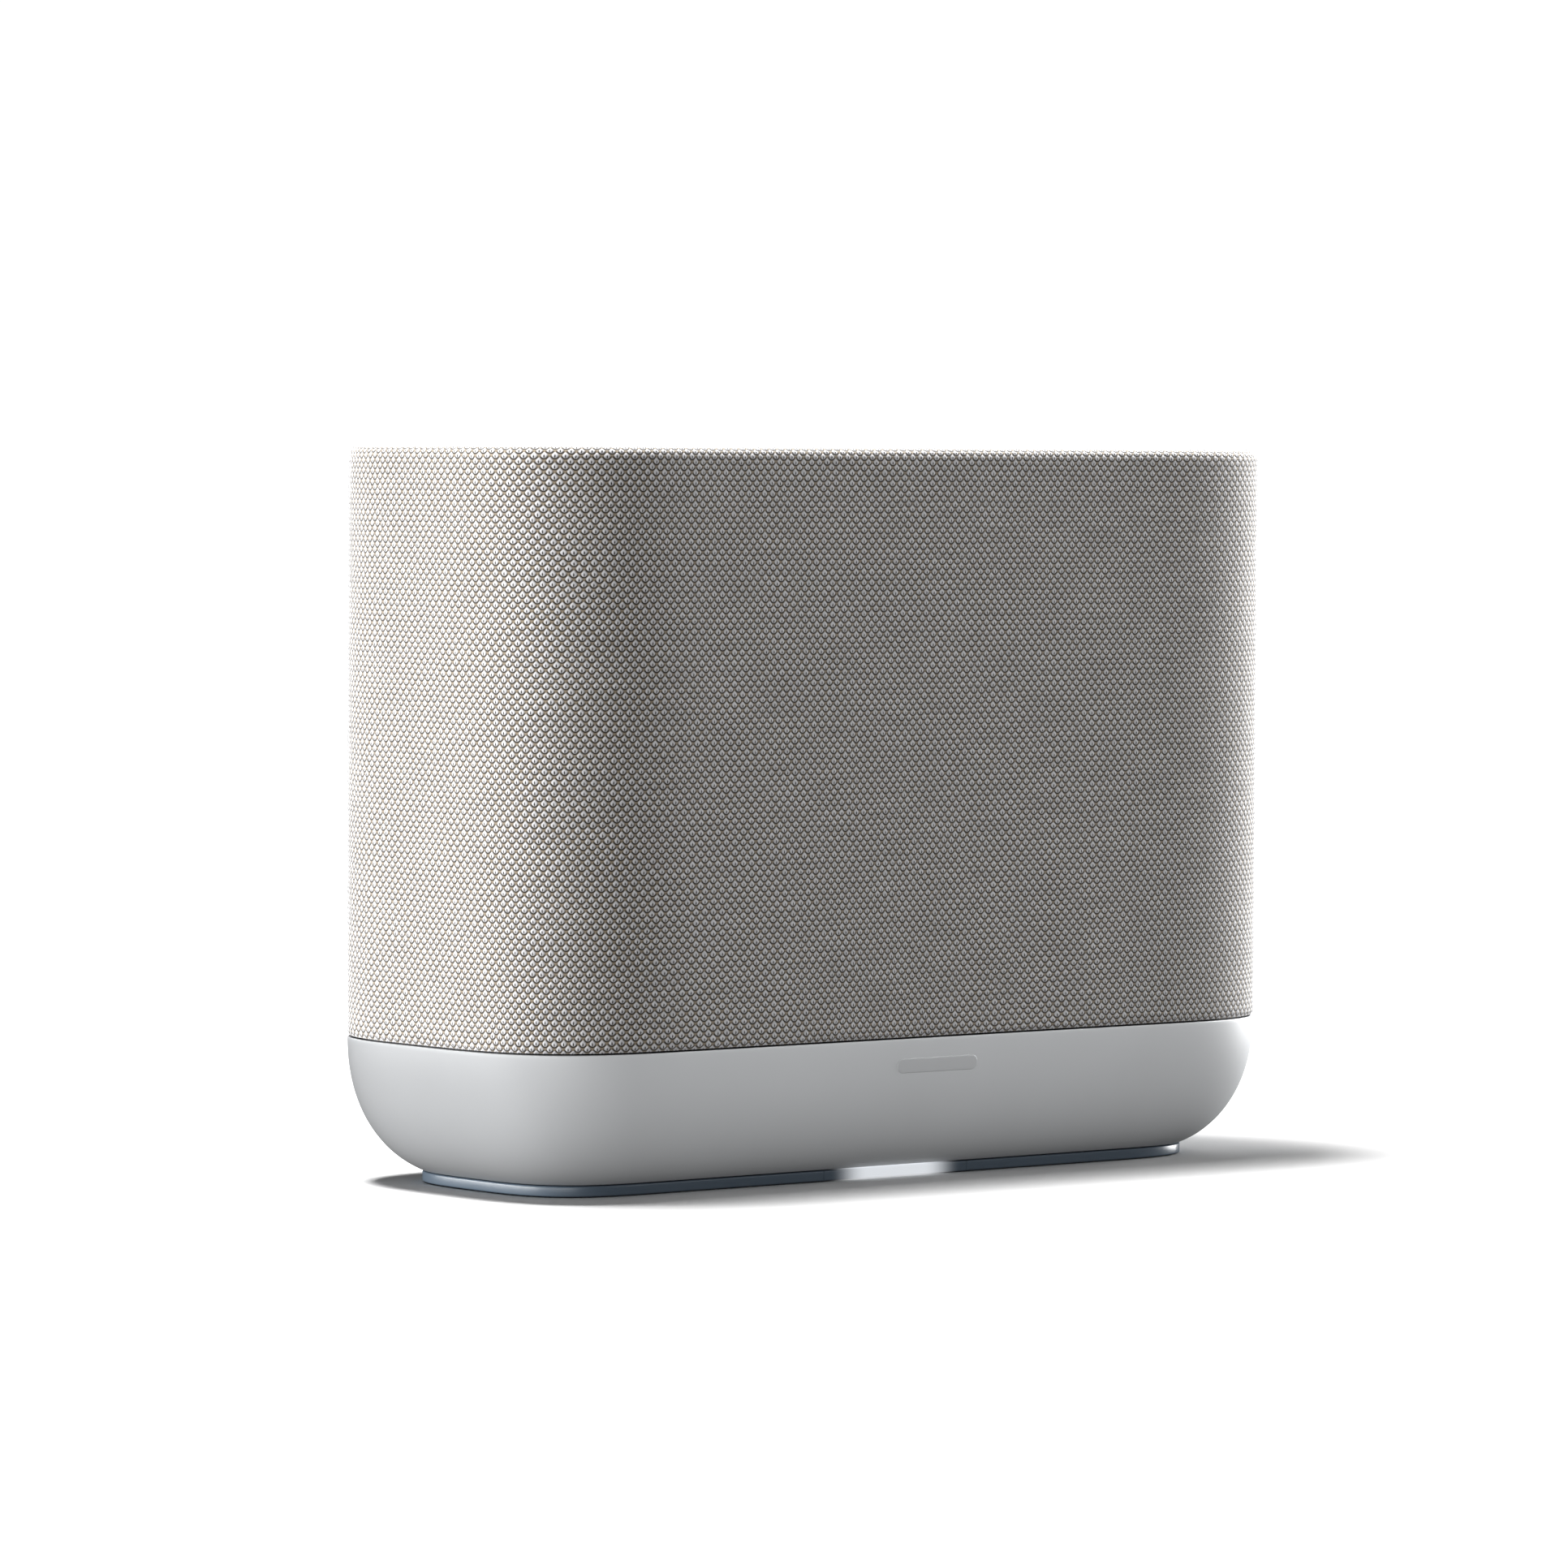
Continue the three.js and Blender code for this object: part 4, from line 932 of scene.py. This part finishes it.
hung = []
for side in ("left", "right"):
    middle = driver_middle(f"woofer_{side}_cone", BAFFLE_FRONT)
    roll = turned_ring(f"{side}_roll", half_roll(**WOOFER_ROLL), middle, -1)
    cloth = turned_ring(f"{side}_spider", corrugation(**WOOFER_SPIDER), middle, -1)
    hung.append((roll, f"woofer_{side}_surround", "rubber", f"woofer_{side}_motion", middle,
                 WOOFER_ROLL["roll_inner"], WOOFER_ROLL["roll_outer"]))
    hung.append((cloth, f"woofer_{side}_spider", "spider_cloth", f"woofer_{side}_motion", middle,
                 *SPIDER_SHARE))
middle = driver_middle("radiator_plate", REAR_FACE)
roll = turned_ring("radiator_roll", half_roll(**RADIATOR_ROLL), middle, 1)
hung.append((roll, "radiator_surround", "rubber", "radiator_motion", middle,
             RADIATOR_ROLL["roll_inner"], RADIATOR_ROLL["roll_outer"]))
for piece, cad_node, finish_slot, motion, middle, inner, outer in hung:
    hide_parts(cad_node)
    share_motion(piece)
print("hung pieces", [entry[0].name for entry in hung])

# %% [markdown]
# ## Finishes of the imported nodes
# The nodes whose shape is right keep it and only take a finish.

# %% Assign finishes by slot
slot_of = {part["node"]: part["material_slot"] for part in frame["record"]["subparts"]}
finishes = {
    "dark_plastic": moulded_plastic("dark_abs", "#2b2d30", 0.55),
    "black_plastic": moulded_plastic("black_abs", "#1b1c1e", 0.55, depth=0.03),
    "rubber": moulded_plastic("nitrile_rubber", "#202122", 0.8, grain=0.5),
    "cone_paper": moulded_plastic("pressed_paper_pulp", "#2c2d2f", 0.85, grain=0.8, depth=0.08),
    "silk": moulded_plastic("coated_silk", "#2f3033", 0.6, grain=0.4),
    "spider_cloth": moulded_plastic("resin_dipped_cotton", "#b58f42", 0.8, grain=0.7, depth=0.08),
    "magnet_steel": brushed_metal("zinc_plated_steel", "#8d8f92", 0.45),
    "copper": brushed_metal("lacquered_copper", "#c8794a", 0.35),
    "brass": brushed_metal("plated_brass", "#d9c48c", 0.3),
    "bright_steel": brushed_metal("brushed_stainless_steel", "#e2e4e6", 0.35),
    "aluminium": brushed_metal("extruded_aluminium", "#c9cbce", 0.4),
    "circuit_board": moulded_plastic("solder_mask", "#1f5e3d", 0.35, grain=0.6),
    "winding_tape": moulded_plastic("polyester_tape", "#c9a63c", 0.4, grain=0.9),
    "satin_shell": satin_abs,
    "slate_ring": slate,
}
for name, cad_object in nodes.items():
    if slot_of[name] in finishes:
        use(cad_object, finishes[slot_of[name]])
for entry in hung:
    use(entry[0], finishes[entry[2]])
print("finishes", len(finishes))

# %% [markdown]
# ## Studio
# A white floor and soft boxes. Wide boxes stand left of the camera and behind the left end, so
# brightness falls off smoothly round that end and the front is in quiet shade. Others edge the
# right end, and one nearly overhead leaves only the close shadow under the bowl. A faint fill box
# lights everything. Every other box lights only the pieces that it is meant for, so that cloth,
# bowl, lid and floor are exposed separately.

# %% Floor
FLOOR_RADIUS = 1.0
FLOOR_SIDES = 96
angles = np.linspace(0, 2 * np.pi, FLOOR_SIDES, endpoint=False)
rim = FLOOR_RADIUS * np.stack([np.cos(angles), np.sin(angles), np.zeros(FLOOR_SIDES)], axis=-1)
floor = make_object("floor", rim, [list(range(FLOOR_SIDES))])
floor_material = new_material("studio_floor", Roughness=0.9, Base_Color=linear("#f2f2f2"))[0]
use(floor, floor_material)
floor.visible_diffuse = False
floor.visible_glossy = False
print("floor radius", FLOOR_RADIUS)


# %% Lights
def softbox(name, azimuth, height, wide, power, distance=2.0, tall=0.8):
    """An area light turned to the speaker.

    The azimuth is in degrees from the front towards the right, the height, width, distance and
    tallness are in metres, and the power is in watts.
    """
    light = bpy.data.lights.new(name, "AREA")
    light.shape, light.size, light.size_y, light.energy = "RECTANGLE", wide, tall, power
    lamp = bpy.data.objects.new(name, light)
    bpy.context.scene.collection.objects.link(lamp)
    turn = math.radians(azimuth)
    place = Vector((distance * math.sin(turn), -distance * math.cos(turn), height))
    lamp.location = place
    lamp.rotation_mode = "QUATERNION"
    lamp.rotation_quaternion = (MIDDLE - place).to_track_quat("-Z", "Y")
    lamp.visible_camera = False
    return lamp


MIDDLE = Vector((0, 0, 0.11))
left_front_box = softbox("left_front_box", -58, 0.25, 2.4, 19, tall=0.5)
left_back_box = softbox("left_back_box", -120, 0.25, 2.4, 76, tall=0.5)
bowl_front_box = softbox("bowl_front_box", -48, 0.3, 2.4, 27, tall=0.6)
bowl_back_box = softbox("bowl_back_box", -118, 0.25, 2.0, 26, tall=0.5)
right_box = softbox("right_box", 86, 0.3, 0.8, 52)
right_high_box = softbox("right_high_box", 98, 1.4, 0.8, 90, distance=1.55)
softbox("fill_box", 30, 0.86, 0.8, 5)
top_box = softbox("top_box", -130, 2.1, 0.5, 60, distance=0.4, tall=0.5)
lid_box = softbox("lid_box", -130, 2.1, 0.8, 24, distance=0.4)
floor_box = softbox("floor_box", -137, 2.1, 0.6, 105, distance=0.36, tall=0.6)
right_floor_box = softbox("right_floor_box", 88, 0.35, 0.8, 14)
print("soft boxes", len(bpy.data.lights))


# %% Which lamp lights what
def light_only(lamps, pieces):
    """Keep the light of some lamps to some pieces, as a studio does with flags and screens."""
    lit = bpy.data.collections.new(lamps[0].name + " lights")
    for piece in pieces:
        lit.objects.link(piece)
    for lamp in lamps:
        lamp.light_linking.receiver_collection = lit


speaker = [part for part in bpy.context.scene.objects if part.type == "MESH" and part is not floor]
top_pieces = [lid] + [part for part in speaker if part.name.endswith("_print")]
body = [part for part in speaker if part not in top_pieces]
light_only([right_box, right_high_box, top_box], body)
light_only([left_front_box, left_back_box], [part for part in body if part is not bowl])
light_only([bowl_front_box, bowl_back_box], [bowl])
light_only([lid_box], top_pieces)
light_only([floor_box, right_floor_box], [floor])
print("pieces lit from the right", len(body))

# %% Background
ROOM_STRENGTH = 0.03
BACKDROP_STRENGTH = 1.05
world = bpy.data.worlds.new("studio")
bpy.context.scene.world = world
world.use_nodes = True
world_tree = world.node_tree
world_tree.nodes.clear()
seen = add_node(world_tree, "ShaderNodeLightPath")
strength = add_node(world_tree, "ShaderNodeMix", {"data_type": "FLOAT"}, {
    0: seen.outputs["Is Camera Ray"], 2: ROOM_STRENGTH, 3: BACKDROP_STRENGTH})
sky = add_node(world_tree, "ShaderNodeBackground", (), {0: (1, 1, 1, 1), 1: strength.outputs[0]})
add_node(world_tree, "ShaderNodeOutputWorld", (), {0: sky.outputs[0]})
bpy.context.scene.view_settings.view_transform = "Standard"
print("background", world.name)
